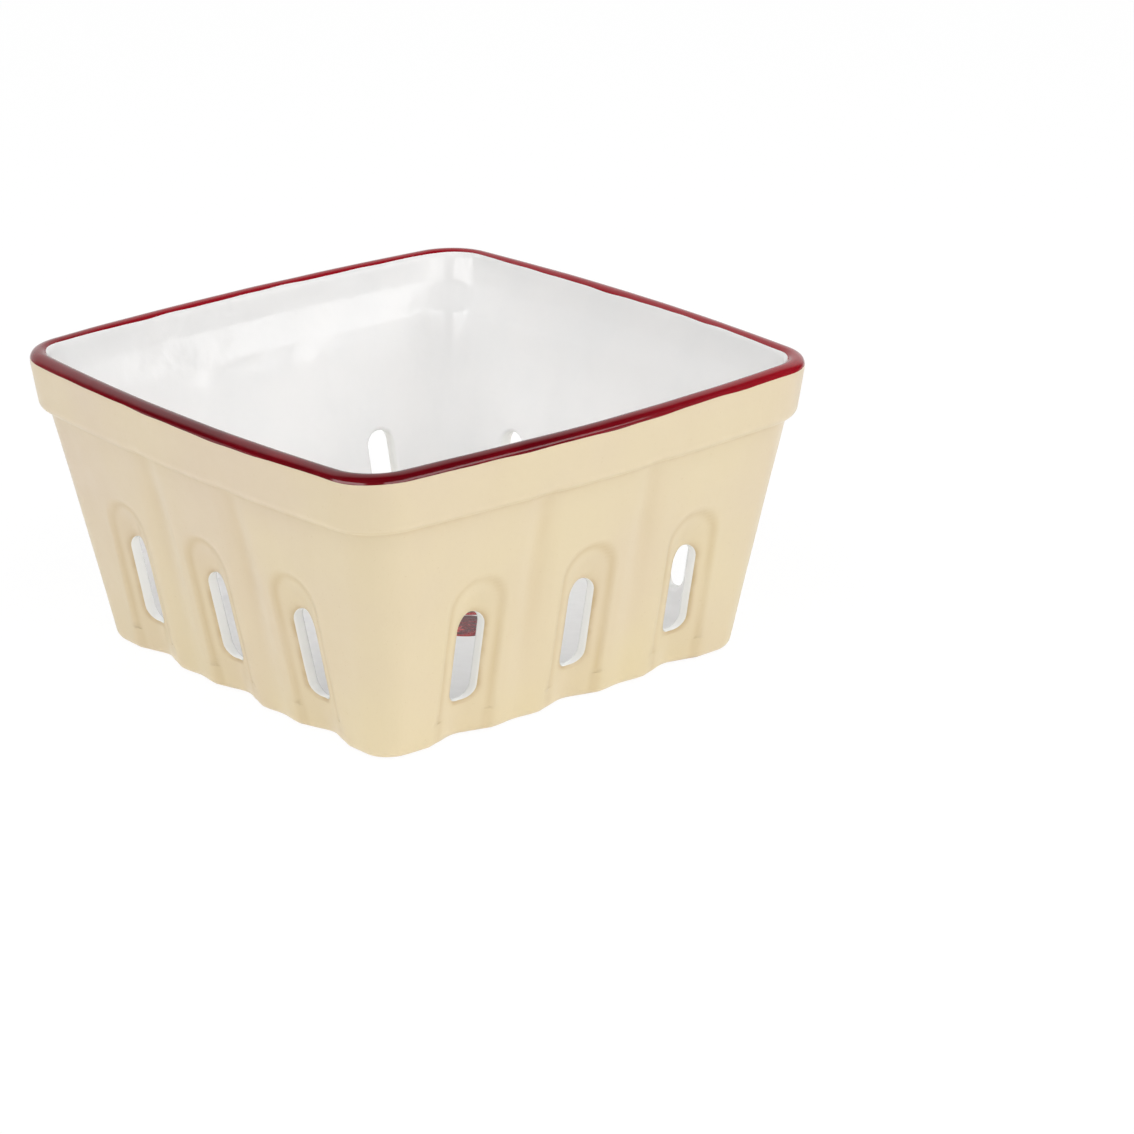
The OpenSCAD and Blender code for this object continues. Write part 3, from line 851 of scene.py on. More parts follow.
def bowl_skin(context, detail=1.0):
    """The clay skin for the present sizes, worked out once at each fineness."""
    sizes = context.scene.bowl_sizes
    key = (detail, tuple(getattr(sizes, name) for name in BowlSizes.__annotations__))
    if key not in SKINS:
        SKINS[key] = BowlSkin(BowlForm(sizes), detail)
    return SKINS[key]


def new_piece(context, name, points, faces, node, material, numbers=None):
    """A smooth mesh object that stands for a CAD node, with vertex numbers as attributes."""
    mesh = bpy.data.meshes.new(name)
    mesh.vertices.add(len(points))
    mesh.vertices.foreach_set("co", np.ascontiguousarray(points, np.float32).ravel())
    mesh.loops.add(faces.size)
    mesh.loops.foreach_set("vertex_index", faces.ravel().astype(np.int32))
    mesh.polygons.add(len(faces))
    starts = np.arange(0, faces.size, faces.shape[1], dtype=np.int32)
    mesh.polygons.foreach_set("loop_start", starts)
    mesh.polygons.foreach_set("use_smooth", np.ones(len(faces), bool))
    mesh.update(calc_edges=True)
    mesh.validate()
    mesh.set_sharp_from_angle(angle=SHARP_ANGLE)
    for label, values in (numbers or {}).items():
        layer = mesh.attributes.new(label, "FLOAT", "POINT")
        layer.data.foreach_set("value", np.asarray(values, np.float32))
    mesh.materials.append(material)
    piece = bpy.data.objects.new(name, mesh)
    context.scene.collection.objects.link(piece)
    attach(piece, BODY)
    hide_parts(node)
    return piece


def shell(skin, coat, thickness):
    """A closed shell on one coat's stretch of the skin: its back is the skin, its front the
    skin moved out along its normals by the thickness, and strips join the two along every
    edge that only one of the coat's faces has."""
    faces = skin.faces[skin.labels == coat]
    used = np.unique(faces)
    renumber = np.zeros(skin.count, int)
    renumber[used] = np.arange(len(used))
    faces = renumber[faces]
    back = skin.points[used]
    front = back + skin.normals[used] * np.broadcast_to(thickness, skin.count)[used][:, None]
    total = len(used)
    start, end = faces.ravel(), np.roll(faces, -1, 1).ravel()
    key = start.astype(np.int64) * total + end
    free = ~np.isin(key, end.astype(np.int64) * total + start)
    start, end = start[free], end[free]
    strips = np.stack([end, start, start + total, end + total], 1)
    everything = np.concatenate([faces, faces[:, ::-1] + total, strips])
    return np.concatenate([front, back]), everything, used


def coat_piece(context, name, coat, material, thickness=None, extra=None):
    """One coat of glaze as a piece, with the numbers that its material reads. A shell has
    each of the skin's vertices twice, on its front and on its back."""
    skin = bowl_skin(context)
    if thickness is None:
        thickness = skin.form.s.glaze
    points, faces, used = shell(skin, coat, thickness)
    numbers = {"hollow": skin.hollow, "slot_edge": skin.edge_of_slot, **(extra or {})}
    numbers = {label: np.tile(values[used], 2) for label, values in numbers.items()}
    return new_piece(context, name, points, faces, name, material, numbers)


def made_finish(name):
    """The finish of that name, which an earlier piece has made and this one shares."""
    finish = bpy.data.materials.get(name)
    if finish is None:
        raise RuntimeError(f"the piece that makes the finish {name} comes first")
    return finish


def add_node(tree, kind, inputs=None, **settings):
    """A shader node with its settings, and its inputs linked or set."""
    node = tree.nodes.new(kind)
    for name, value in settings.items():
        setattr(node, name, value)
    for name, value in (inputs or {}).items():
        if isinstance(value, bpy.types.NodeSocket):
            tree.links.new(value, node.inputs[name])
        else:
            node.inputs[name].default_value = value
    return node


def new_finish(name, **shader):
    """A material with one Principled shader, whose constants are set on its own sockets."""
    material = bpy.data.materials.new(name)
    material.use_nodes = True
    tree = material.node_tree
    surface = tree.nodes["Principled BSDF"]
    for socket, value in shader.items():
        surface.inputs[socket.replace("_", " ")].default_value = value
    return material, tree, surface


def attribute(tree, name):
    """One of the numbers that a piece's vertices carry."""
    return add_node(tree, "ShaderNodeAttribute", attribute_name=name).outputs["Fac"]


def noise(tree, vector, scale, detail=2.0, roughness=0.5, seed=0.0):
    """Noise about 0.5, in its own slice of the pattern."""
    moved = add_node(tree, "ShaderNodeVectorMath", {0: vector, 1: (seed, seed * 1.7, -seed)},
                     operation="ADD").outputs[0]
    return add_node(tree, "ShaderNodeTexNoise",
                    {"Vector": moved, "Scale": scale, "Detail": detail,
                     "Roughness": roughness}).outputs["Fac"]


def spread(tree, value, low, high, to_low=0.0, to_high=1.0, kind="SMOOTHSTEP"):
    """value from low to high, eased and carried to a new range."""
    return add_node(tree, "ShaderNodeMapRange",
                    {"Value": value, "From Min": low, "From Max": high,
                     "To Min": to_low, "To Max": to_high},
                    interpolation_type=kind).outputs["Result"]


def patches(tree, vector, scale, detail=2.0, roughness=0.5, seed=0.0, low=0.0, high=1.0):
    """Soft patches of noise, from low to high."""
    return spread(tree, noise(tree, vector, scale, detail, roughness, seed), 0.3, 0.7, low, high)


def blend_colour(tree, share, first, second):
    """first, and second in its place by a share. Either is a colour or a socket."""
    node = add_node(tree, "ShaderNodeMix", data_type="RGBA")
    tree.links.new(share, node.inputs[0])
    for index, value in ((6, first), (7, second)):
        if isinstance(value, bpy.types.NodeSocket):
            tree.links.new(value, node.inputs[index])
        else:
            node.inputs[index].default_value = tuple(value)
    return node.outputs[2]


def combine(tree, operation, first, second):
    """A sum, product or maximum of two numbers."""
    return add_node(tree, "ShaderNodeMath", {0: first, 1: second}, operation=operation).outputs[0]


def measured(tree, vector, direction):
    """How far a vector reaches in a direction: their dot product."""
    return add_node(tree, "ShaderNodeVectorMath", {0: vector, 1: direction},
                    operation="DOT_PRODUCT").outputs["Value"]


def stretched(tree, vector, x, y, z):
    """A vector scaled by each axis of its own."""
    return add_node(tree, "ShaderNodeMapping", {"Vector": vector, "Scale": (x, y, z)}).outputs[0]


def dress(tree, surface, tone, rough, height, distance):
    """Gives the shader its colour and roughness, and a bump from a height."""
    tree.links.new(tone, surface.inputs["Base Color"])
    tree.links.new(rough, surface.inputs["Roughness"])
    bump = add_node(tree, "ShaderNodeBump", {"Height": height, "Distance": distance,
                                             "Strength": 1.0})
    tree.links.new(bump.outputs["Normal"], surface.inputs["Normal"])


def object_point(tree):
    """The place on the piece, in the object's own coordinates."""
    return add_node(tree, "ShaderNodeTexCoord").outputs["Object"]


def cream_finish(colours):
    """Satin cream glaze: slow rosy and yellow clouds, and painted shade that turns it darker and
    rosier up and to the left and lighter and yellower at the foot; deeper where it gathers in a
    hollow and tan where it breaks over the edge of a slot, on a fine uneven surface."""
    material, tree, surface = new_finish("cream_glaze", IOR=1.5, Coat_Weight=0.25,
                                         Coat_Roughness=0.28)
    point = object_point(tree)
    cloud = patches(tree, stretched(tree, point, 1, 1, 0.8), 32, roughness=0.35)
    # Painted shade: more of the rosier, darker cream over the upper wall and towards the left, so
    # the outside reads lighter at the foot.
    painted_shade_up_and_left = measured(tree, point, (-3.0, 0.0, 7.0))
    rosy = combine(tree, "ADD", combine(tree, "MULTIPLY", cloud, 0.4),
                   spread(tree, painted_shade_up_and_left, -0.24, 0.56, 0.0, 0.6, kind="LINEAR"))
    tone = blend_colour(tree, rosy, colours.cream, colours.cream_rose_and_shade)
    runs = noise(tree, stretched(tree, point, 1, 1, 0.2), 90, 2, 0.4, seed=13)
    hollow = combine(tree, "MAXIMUM", spread(tree, runs, 0.45, 0.75, 0.0, 0.05),
                     spread(tree, attribute(tree, "hollow"), 0.02, 0.30, 0.0, 0.6))
    gathered = combine(tree, "MAXIMUM", hollow, attribute(tree, "gathered"))
    streaks = noise(tree, stretched(tree, point, 1, 1, 0.3), 90, 2, seed=3)
    gathered = combine(tree, "MULTIPLY", gathered, spread(tree, streaks, 0.25, 0.7, 0.35, 0.95))
    tone = blend_colour(tree, gathered, tone, colours.cream_pool)
    broken = combine(tree, "MULTIPLY", attribute(tree, "slot_edge"),
                     patches(tree, point, 160, seed=7, low=0.3, high=0.9))
    tone = blend_colour(tree, broken, tone, colours.cream_edge)
    specks = spread(tree, noise(tree, point, 1500, 2, seed=11), 0.68, 0.74, 0.0, 0.25)
    tone = blend_colour(tree, specks, tone, colours.cream_pool)
    fine = combine(tree, "ADD", noise(tree, point, 180, 3, seed=2),
                   combine(tree, "MULTIPLY", noise(tree, point, 1100, 2, seed=9), 0.12))
    dress(tree, surface, tone, patches(tree, point, 120, 3, seed=5, low=0.34, high=0.46),
          fine, 0.00022)
    return material


def white_finish(colours):
    """Glossy white glaze over uneven clay: slow waves in its shine, pinholes here and there
    and a cooler tone where it gathers."""
    material, tree, surface = new_finish("white_glaze", IOR=1.32)
    point = object_point(tree)
    gathered = spread(tree, attribute(tree, "hollow"), 0.01, 0.35)
    cloud = spread(tree, noise(tree, point, 40, 3), 0.35, 0.65, 0.0, 0.35)
    tone = blend_colour(tree, combine(tree, "MAXIMUM", gathered, cloud), colours.white,
                        colours.white_pool)
    waves = combine(tree, "ADD", noise(tree, point, 70, 2, seed=8),
                    combine(tree, "MULTIPLY", noise(tree, point, 400, 2, seed=6), 0.10))
    dress(tree, surface, tone, patches(tree, point, 150, seed=4, low=0.08, high=0.16),
          waves, 0.0004)
    return material


def band_finish(colours):
    """Glossy burgundy laid on with a brush: deeper in front and redder towards the back, and a
    little paler at its edges, with long soft strokes round the lip."""
    material, tree, surface = new_finish("burgundy_glaze", IOR=1.42)
    point = object_point(tree)
    strokes = noise(tree, stretched(tree, point, 1, 1, 5), 60, 3, 0.5)
    tone = blend_colour(tree, spread(tree, strokes, 0.45, 0.80), colours.burgundy_deep,
                        colours.burgundy)
    to_back = measured(tree, point, (-0.6, 1.0, 0.0))
    tone = blend_colour(tree, spread(tree, to_back, -0.07, 0.02, kind="LINEAR"), tone,
                        colours.burgundy_red)
    thin = combine(tree, "MULTIPLY", attribute(tree, "thin"),
                   patches(tree, point, 260, seed=5, high=0.3))
    tone = blend_colour(tree, thin, tone, colours.burgundy_thin)
    dress(tree, surface, tone, patches(tree, point, 200, seed=2, low=0.10, high=0.16),
          noise(tree, point, 120, 2, seed=3), 0.00012)
    return material


def clay_finish(colours):
    """Bare fired clay: fine dark and pale grains, a matt rubbed surface and small pits."""
    material, tree, surface = new_finish("bisque", IOR=1.45)
    point = object_point(tree)
    tone = blend_colour(tree, patches(tree, point, 80, 4, 0.6), colours.clay,
                        colours.clay_dark)
    grains = spread(tree, noise(tree, point, 2600, 2, seed=3), 0.60, 0.70, 0.0, 0.6)
    tone = blend_colour(tree, grains, tone, colours.clay_dark)
    dress(tree, surface, tone, patches(tree, point, 900, low=0.72, high=0.92),
          noise(tree, point, 1400, 4, 0.65, seed=5), 0.00025)
    return material


def stroke_finish(name, base, dark, light, across, along):
    """Enamel laid on in thin brush strokes that follow the piece's own UV map, darker on its
    shaded side and paler where the brush ran dry. A stroke is wide and long by one over
    across and along."""
    material, tree, surface = new_finish(name, IOR=1.45)
    place = add_node(tree, "ShaderNodeUVMap", uv_map="strokes").outputs[0]
    streak = noise(tree, stretched(tree, place, across, along, 1), 1.0, 5, 0.62)
    fine = noise(tree, stretched(tree, place, across * 4, along * 2, 1), 1.0, 3, 0.6, seed=6)
    tone = blend_colour(tree, spread(tree, streak, 0.38, 0.66), dark, base)
    tone = blend_colour(tree, spread(tree, fine, 0.56, 0.74, 0.0, 0.75), tone, light)
    tone = blend_colour(tree, attribute(tree, "shade"), tone, dark)
    tone = blend_colour(tree, attribute(tree, "mark"), tone, light)
    dress(tree, surface, tone, spread(tree, fine, 0.3, 0.7, 0.14, 0.30), streak, 0.0001)
    return material


class MESH_OT_bowl_clay(bpy.types.Operator):
    """Adds the one-piece clay body, bare on its foot ring"""
    bl_idname = "mesh.bowl_clay"
    bl_label = "Clay Body"

    DETAIL = 0.5   # coarser than the coats, since only its foot ring is seen

    def execute(self, context):
        skin = bowl_skin(context, self.DETAIL)
        new_piece(context, "clay_body", skin.points, skin.faces, "clay_body",
                  clay_finish(context.scene.bowl_colours))
        return {"FINISHED"}


class MESH_OT_bowl_exterior(bpy.types.Operator):
    """Adds the cream glaze on the outside, with its recesses, flutes and collar"""
    bl_idname = "mesh.bowl_exterior"
    bl_label = "Exterior Glaze"

    FOOT_SHARE = 0.35      # share of the glaze's thickness that is left at the foot
    SEAM_REACH = 0.0018    # where the faces' size changes, this far round, no hollow shows

    def execute(self, context):
        skin = bowl_skin(context)
        sizes = context.scene.bowl_sizes
        height = skin.points[:, 2]
        run = smooth(height / sizes.foot_edge)
        seam = hump((height - BowlForm.OUTER_CELL[0]) / self.SEAM_REACH)
        coat_piece(context, "exterior_glaze", Coat.EXTERIOR,
                   cream_finish(context.scene.bowl_colours),
                   sizes.glaze * mix(self.FOOT_SHARE, 1.0, run),
                   {"gathered": skin.form.gathering(skin.points),
                    "hollow": skin.hollow * (1 - seam)})
        return {"FINISHED"}


class MESH_OT_bowl_underside(bpy.types.Operator):
    """Adds the cream glaze on the hollow of the underside"""
    bl_idname = "mesh.bowl_underside"
    bl_label = "Underside Glaze"

    def execute(self, context):
        coat_piece(context, "underside_glaze", Coat.UNDERSIDE,
                   made_finish("cream_glaze"))
        return {"FINISHED"}


class MESH_OT_bowl_interior(bpy.types.Operator):
    """Adds the white glaze on the inside, over the ledge and the floor"""
    bl_idname = "mesh.bowl_interior"
    bl_label = "Interior Glaze"

    def execute(self, context):
        coat_piece(context, "interior_glaze", Coat.INTERIOR,
                   white_finish(context.scene.bowl_colours))
        return {"FINISHED"}


class MESH_OT_bowl_slots(bpy.types.Operator):
    """Adds the white glaze that lines the twelve drain slots"""
    bl_idname = "mesh.bowl_slots"
    bl_label = "Slot Glaze"

    def execute(self, context):
        coat_piece(context, "slot_glaze", Coat.SLOT, made_finish("white_glaze"))
        return {"FINISHED"}


class MESH_OT_bowl_band(bpy.types.Operator):
    """Adds the coloured band brushed over the lip"""
    bl_idname = "mesh.bowl_band"
    bl_label = "Rim Band"

    def execute(self, context):
        skin = bowl_skin(context)
        sizes = context.scene.bowl_sizes
        near = distance_to_edge(skin)
        bead_place = sizes.lip / 2.5
        bead = hump((near - bead_place) / bead_place)
        coat_piece(context, "rim_band", Coat.BAND,
                   band_finish(context.scene.bowl_colours), sizes.glaze + sizes.bead * bead,
                   {"thin": 1 - smooth(near / (sizes.lip / 4))})
        return {"FINISHED"}


def distance_to_edge(skin):
    """How far each vertex of the band is from its nearer brushed edge, along the profile: the
    band's vertices lie on whole rows of the grid, so it is the running length of a column."""
    rows = np.flatnonzero(np.array(skin.row_coat) == Coat.BAND)
    numbers = skin.grid[np.append(rows, rows[-1] + 1)]
    steps = np.linalg.norm(np.diff(skin.points[numbers], axis=0), axis=2)
    gone = np.concatenate([np.zeros((1, steps.shape[1])), np.cumsum(steps, 0)])
    near = np.zeros(skin.count)
    near[numbers] = np.minimum(gone, gone[-1] - gone)
    return near


def paint_piece(context, name, sheets, material):
    """Domed shapes of enamel in one piece. Each sheet gives plan places on a grid of two
    parameters, the dome's height there, its UV places and its shade and mark. The dome and
    the flat back under it share the grid's border, so the shape is closed, and the back is
    sunk a little into the glaze."""
    points, faces, uvs, shades, marks, count = [], [], [], [], [], 0
    sizes = context.scene.sprig_sizes
    cos, sin = math.cos(sizes.turn), math.sin(sizes.turn)
    turned = np.array([[cos, sin], [-sin, cos]])
    back_z = PAINT_LOW - sizes.paint * Sprig.SUNK_SHARE
    for plan, rise, uv, shade, mark in sheets:
        rows, columns = rise.shape
        plan = plan @ turned
        top = np.dstack([plan, PAINT_LOW + rise])
        border = np.ones((rows, columns), bool)
        border[1:-1, 1:-1] = False
        top[border, 2] = back_z
        back = np.dstack([plan, np.full((rows, columns), back_z)])[~border]
        front = np.arange(rows * columns).reshape(rows, columns) + count
        under = front.copy()
        under[~border] = np.arange(len(back)) + count + rows * columns
        faces += [grid_quads(front), grid_quads(under)[:, ::-1]]
        points += [top.reshape(-1, 3), back]
        for store, values in ((uvs, uv), (shades, shade[..., None]), (marks, mark[..., None])):
            store += [values.reshape(rows * columns, -1), values[~border]]
        count += rows * columns + len(back)
    faces = np.concatenate(faces)
    piece = new_piece(context, name, np.concatenate(points), faces, name, material,
                      {"shade": np.concatenate(shades)[:, 0], "mark": np.concatenate(marks)[:, 0]})
    layer = piece.data.uv_layers.new(name="strokes")
    layer.uv.foreach_set("vector", np.concatenate(uvs)[faces.ravel()].astype(np.float32).ravel())
    return piece


class Sprig:
    """Places of the painted sprig's parts, as shares of the stem's length from the middle of
    the floor: three berries with their sizes, the fork that their twigs and the leaves grow
    from, and the middle points that bend the stem and the twigs."""
    BERRIES = ((-0.265, -0.17, 0.94), (0.255, -0.12, 1.0), (0.01, -0.45, 0.9))
    FORK, TIP, STEM_BEND = (0.0, 0.15), (0.09, 0.55), (0.01, 0.36)
    TWIG_BENDS = ((-0.16, 0.07), (0.15, 0.09), (0.02, -0.1))
    LEAVES = ((146, 1.0), (33, 0.92))
    TWIG_SHARE = 0.8           # a twig's width, as a share of the stem's
    BELLY_SHARE = 0.8          # power that brings a leaf's widest place nearer its root
    TWIG_END = 0.97            # share of a berry's radius at which its twig stops
    LIGHT = (-0.35, 0.4)       # brightest place of a berry, in its radii from its middle
    CALYX = (-0.1, 0.48)       # and the place of its calyx
    SUNK_SHARE = 0.4           # share of the paint's thickness that lies in the glaze


def berry_sheet(sizes, place, seed):
    """A round dome: a square grid drawn out to a circle, rising as the root of 1 - t^6 at a
    share t of the radius. Its strokes run round a point off its middle, it is shaded on the
    side away from that point, and a five-pointed calyx is left pale near its top."""
    radius = sizes.berry_radius * place[2]
    side = np.linspace(-1, 1, 65)
    a, b = np.meshgrid(side, side, indexing="ij")
    share = np.maximum(np.abs(a), np.abs(b))
    angle = np.arctan2(b, a)
    edge = 1 + 0.025 * sway(angle, (2, 3, 5, 7), seed)
    x, y = (radius * share * edge * f(angle) for f in (np.cos, np.sin))
    rise = sizes.paint * np.sqrt(1 - share ** 6)
    light_x, light_y = x - radius * Sprig.LIGHT[0], y - radius * Sprig.LIGHT[1]
    from_light = np.hypot(light_x, light_y) / radius
    turn = np.arctan2(light_y, light_x)
    shade = 0.85 * smooth((from_light - 0.75) / 0.6)
    calyx_x, calyx_y = x - radius * Sprig.CALYX[0], y - radius * Sprig.CALYX[1]
    petal = np.cos(5 * np.arctan2(calyx_y, calyx_x) + seed)
    star = np.hypot(calyx_x, calyx_y) / (radius * (0.17 + 0.09 * petal))
    glint = np.exp(-((from_light - 0.42) / 0.07) ** 2) * smooth((np.cos(turn - 2.3) - 0.3) / 0.5)
    mark = np.maximum(0.9 * (1 - smooth((star - 0.75) / 0.5)), 0.6 * glint)
    plan = np.dstack([x, y]) + np.array(place[:2]) * sizes.stem_length
    return plan, rise, np.dstack([turn * from_light, from_light]), shade, mark


def leaf_sheet(sizes, angle, share, seed):
    """A leaf of half width w / 2 * sin(180 * t^0.8) at a share t of its length, with a wavy
    edge, a pale midrib and pale side veins that slant towards its tip."""
    size = np.array([sizes.leaf_length, sizes.leaf_width]) * share
    along, across = np.meshgrid(np.linspace(0, 1, 121), np.linspace(-1, 1, 41), indexing="ij")
    half = size[1] / 2 * np.sin(np.pi * np.clip(along, 0, 1) ** Sprig.BELLY_SHARE)
    half = half * (1 + 0.05 * np.sin(along * 47 + seed + across)) + sizes.paint
    x = along * size[0]
    y = across * half
    rise = sizes.paint * np.sqrt(np.clip(1 - across ** 6, 0, 1))
    rise = rise * (0.7 + 0.3 * np.sqrt(half / half.max()))
    rib = np.exp(-(y / (sizes.stem_width * 0.16)) ** 2)
    slant = (x - 0.75 * np.abs(y)) / (size[0] / 7)
    vein = np.exp(-((slant - np.round(slant)) / 0.07) ** 2) * (1 - smooth(np.abs(across)))
    shade = 0.55 * smooth(-across / 0.8) + 0.3 * (1 - smooth(along / 0.25))
    mark = np.maximum(0.8 * rib * (1 - along), 0.5 * vein) * smooth(along / 0.06)
    turn = math.radians(angle)
    cos, sin = math.cos(turn), math.sin(turn)
    fork = np.array(Sprig.FORK) * sizes.stem_length
    plan = np.dstack([x * cos - y * sin + fork[0], x * sin + y * cos + fork[1]])
    return plan, rise, np.dstack([slant, y / size[1] * 2]), shade, mark


def stroke_sheet(sizes, start, bend, end, width, stop=None):
    """A brush stroke along a curve: (1-t)^2 * start + 2t(1-t) * bend + t^2 * end. It swells
    and thins a little, its ends are round, and it stops at the edge of a berry."""
    start, bend, end = (np.array(p[:2]) * sizes.stem_length for p in (start, bend, end))

    def curve(t):
        return (1 - t) ** 2 * start + 2 * t * (1 - t) * bend + t ** 2 * end

    last = 1.0
    if stop is not None:
        t = np.linspace(0, 1, 401)[:, None]
        outside = np.linalg.norm(curve(t) - end, axis=1) > stop
        last = t[np.flatnonzero(outside)[-1], 0]
    t = (0.5 - 0.5 * np.cos(np.pi * np.linspace(0, 1, 61)))[:, None] * last
    middle = curve(t)
    ahead = 2 * (1 - t) * (bend - start) + 2 * t * (end - bend)
    ahead /= np.linalg.norm(ahead, axis=1, keepdims=True)
    aside = np.stack([-ahead[:, 1], ahead[:, 0]], 1)
    gone = t / last
    tip = (1 - np.abs(2 * gone - 1) ** 14) ** 0.5
    half = width / 2 * (0.12 + 0.88 * tip) * (1 + 0.12 * np.sin(7 * gone + width * 4000))
    across = np.linspace(-1, 1, 13)
    plan = middle[:, None] + aside[:, None] * (half * across)[:, :, None]
    rise = sizes.paint * 0.8 * np.sqrt(1 - across ** 4)[None, :] * (0.3 + 0.7 * tip)
    span = np.linalg.norm(end - start)
    uv = np.dstack(np.broadcast_arrays(gone * span / sizes.stem_width, across[None, :] * 0.5))
    shade = 0.6 * smooth(-across / 0.9)[None, :] * np.ones_like(gone)
    mark = 0.35 * np.exp(-((across - 0.35) / 0.25) ** 2)[None, :] * tip
    return plan, rise, uv, shade, mark


class MESH_OT_bowl_berries(bpy.types.Operator):
    """Adds the three painted berries on the floor"""
    bl_idname = "mesh.bowl_berries"
    bl_label = "Painted Berries"

    def execute(self, context):
        sizes, colours = context.scene.sprig_sizes, context.scene.bowl_colours
        sheets = [berry_sheet(sizes, place, seed) for seed, place in enumerate(Sprig.BERRIES)]
        finish = stroke_finish("berry_enamel", colours.berry, colours.berry_dark,
                               colours.berry_light, 1.4, 9.0)
        paint_piece(context, "painted_berries", sheets, finish)
        return {"FINISHED"}


class MESH_OT_bowl_leaves(bpy.types.Operator):
    """Adds the two painted leaves on the floor"""
    bl_idname = "mesh.bowl_leaves"
    bl_label = "Painted Leaves"

    def execute(self, context):
        sizes, colours = context.scene.sprig_sizes, context.scene.bowl_colours
        sheets = [leaf_sheet(sizes, angle, share, seed * 2.1)
                  for seed, (angle, share) in enumerate(Sprig.LEAVES)]
        finish = stroke_finish("leaf_enamel", colours.leaf, colours.leaf_dark,
                               colours.leaf_light, 0.8, 5.0)
        paint_piece(context, "painted_leaves", sheets, finish)
        return {"FINISHED"}


class MESH_OT_bowl_stems(bpy.types.Operator):
    """Adds the painted stem and the three twigs that carry the berries"""
    bl_idname = "mesh.bowl_stems"
    bl_label = "Painted Stems"

    def execute(self, context):
        sizes, colours = context.scene.sprig_sizes, context.scene.bowl_colours
        sheets = [stroke_sheet(sizes, Sprig.TIP, Sprig.STEM_BEND, Sprig.FORK, sizes.stem_width)]
        for bend, berry in zip(Sprig.TWIG_BENDS, Sprig.BERRIES):
            sheets.append(stroke_sheet(sizes, Sprig.FORK, bend, berry,
                                       sizes.stem_width * Sprig.TWIG_SHARE,
                                       sizes.berry_radius * berry[2] * Sprig.TWIG_END))
        finish = stroke_finish("stem_enamel", colours.stem, colours.stem_dark,
                               colours.leaf_light, 0.6, 3.0)
        paint_piece(context, "painted_stems", sheets, finish)
        return {"FINISHED"}


class StageSettings(bpy.types.PropertyGroup):
    """The camera's place and the light from all round"""
    azimuth: FloatProperty(name="Azimuth", subtype="ANGLE", default=math.radians(49.5347),
                           description="Turn of the camera round the bowl, from the front")
    elevation: FloatProperty(name="Elevation", subtype="ANGLE", default=math.radians(20.389),
                             description="Height of the camera above the horizon")
    roll: FloatProperty(name="Roll", subtype="ANGLE", default=math.radians(-0.6561),
                        description="Lean of the camera to one side")
    distance: length("Distance", 1.0434, "From the camera to the point that it looks at")
    aim_right: FloatProperty(name="Aim right", unit="LENGTH", default=0.03935, precision=5,
                             description="How far right of the bowl's middle it looks")
    aim_up: FloatProperty(name="Aim up", unit="LENGTH", default=-0.01443, precision=5,
                          description="How far above the aim's height it looks, on its own axis")
    aim_height: length("Aim height", 0.036, "Height of that point before it moves right and up")
    lens: FloatProperty(name="Lens", unit="CAMERA", default=124.09, min=1.0,
                        description="Focal length on a sensor 36 mm wide")
    sky: FloatProperty(name="Sky light", default=0.05, min=0.0, max=5.0, subtype="FACTOR",
                       description="Strength of the even light from all round")
    gloss: FloatProperty(name="Sky in gloss", default=0.03, min=0.0, max=1.0, subtype="FACTOR",
                         description="How bright the surroundings are in a glossy surface")


def facing(place, target):
    """A transform at a place whose -Z axis points at a target, with +Y as near up as it goes."""
    away = (Vector(place) - Vector(target)).normalized()
    return Matrix.Translation(place) @ away.to_track_quat("Z", "Y").to_matrix().to_4x4()


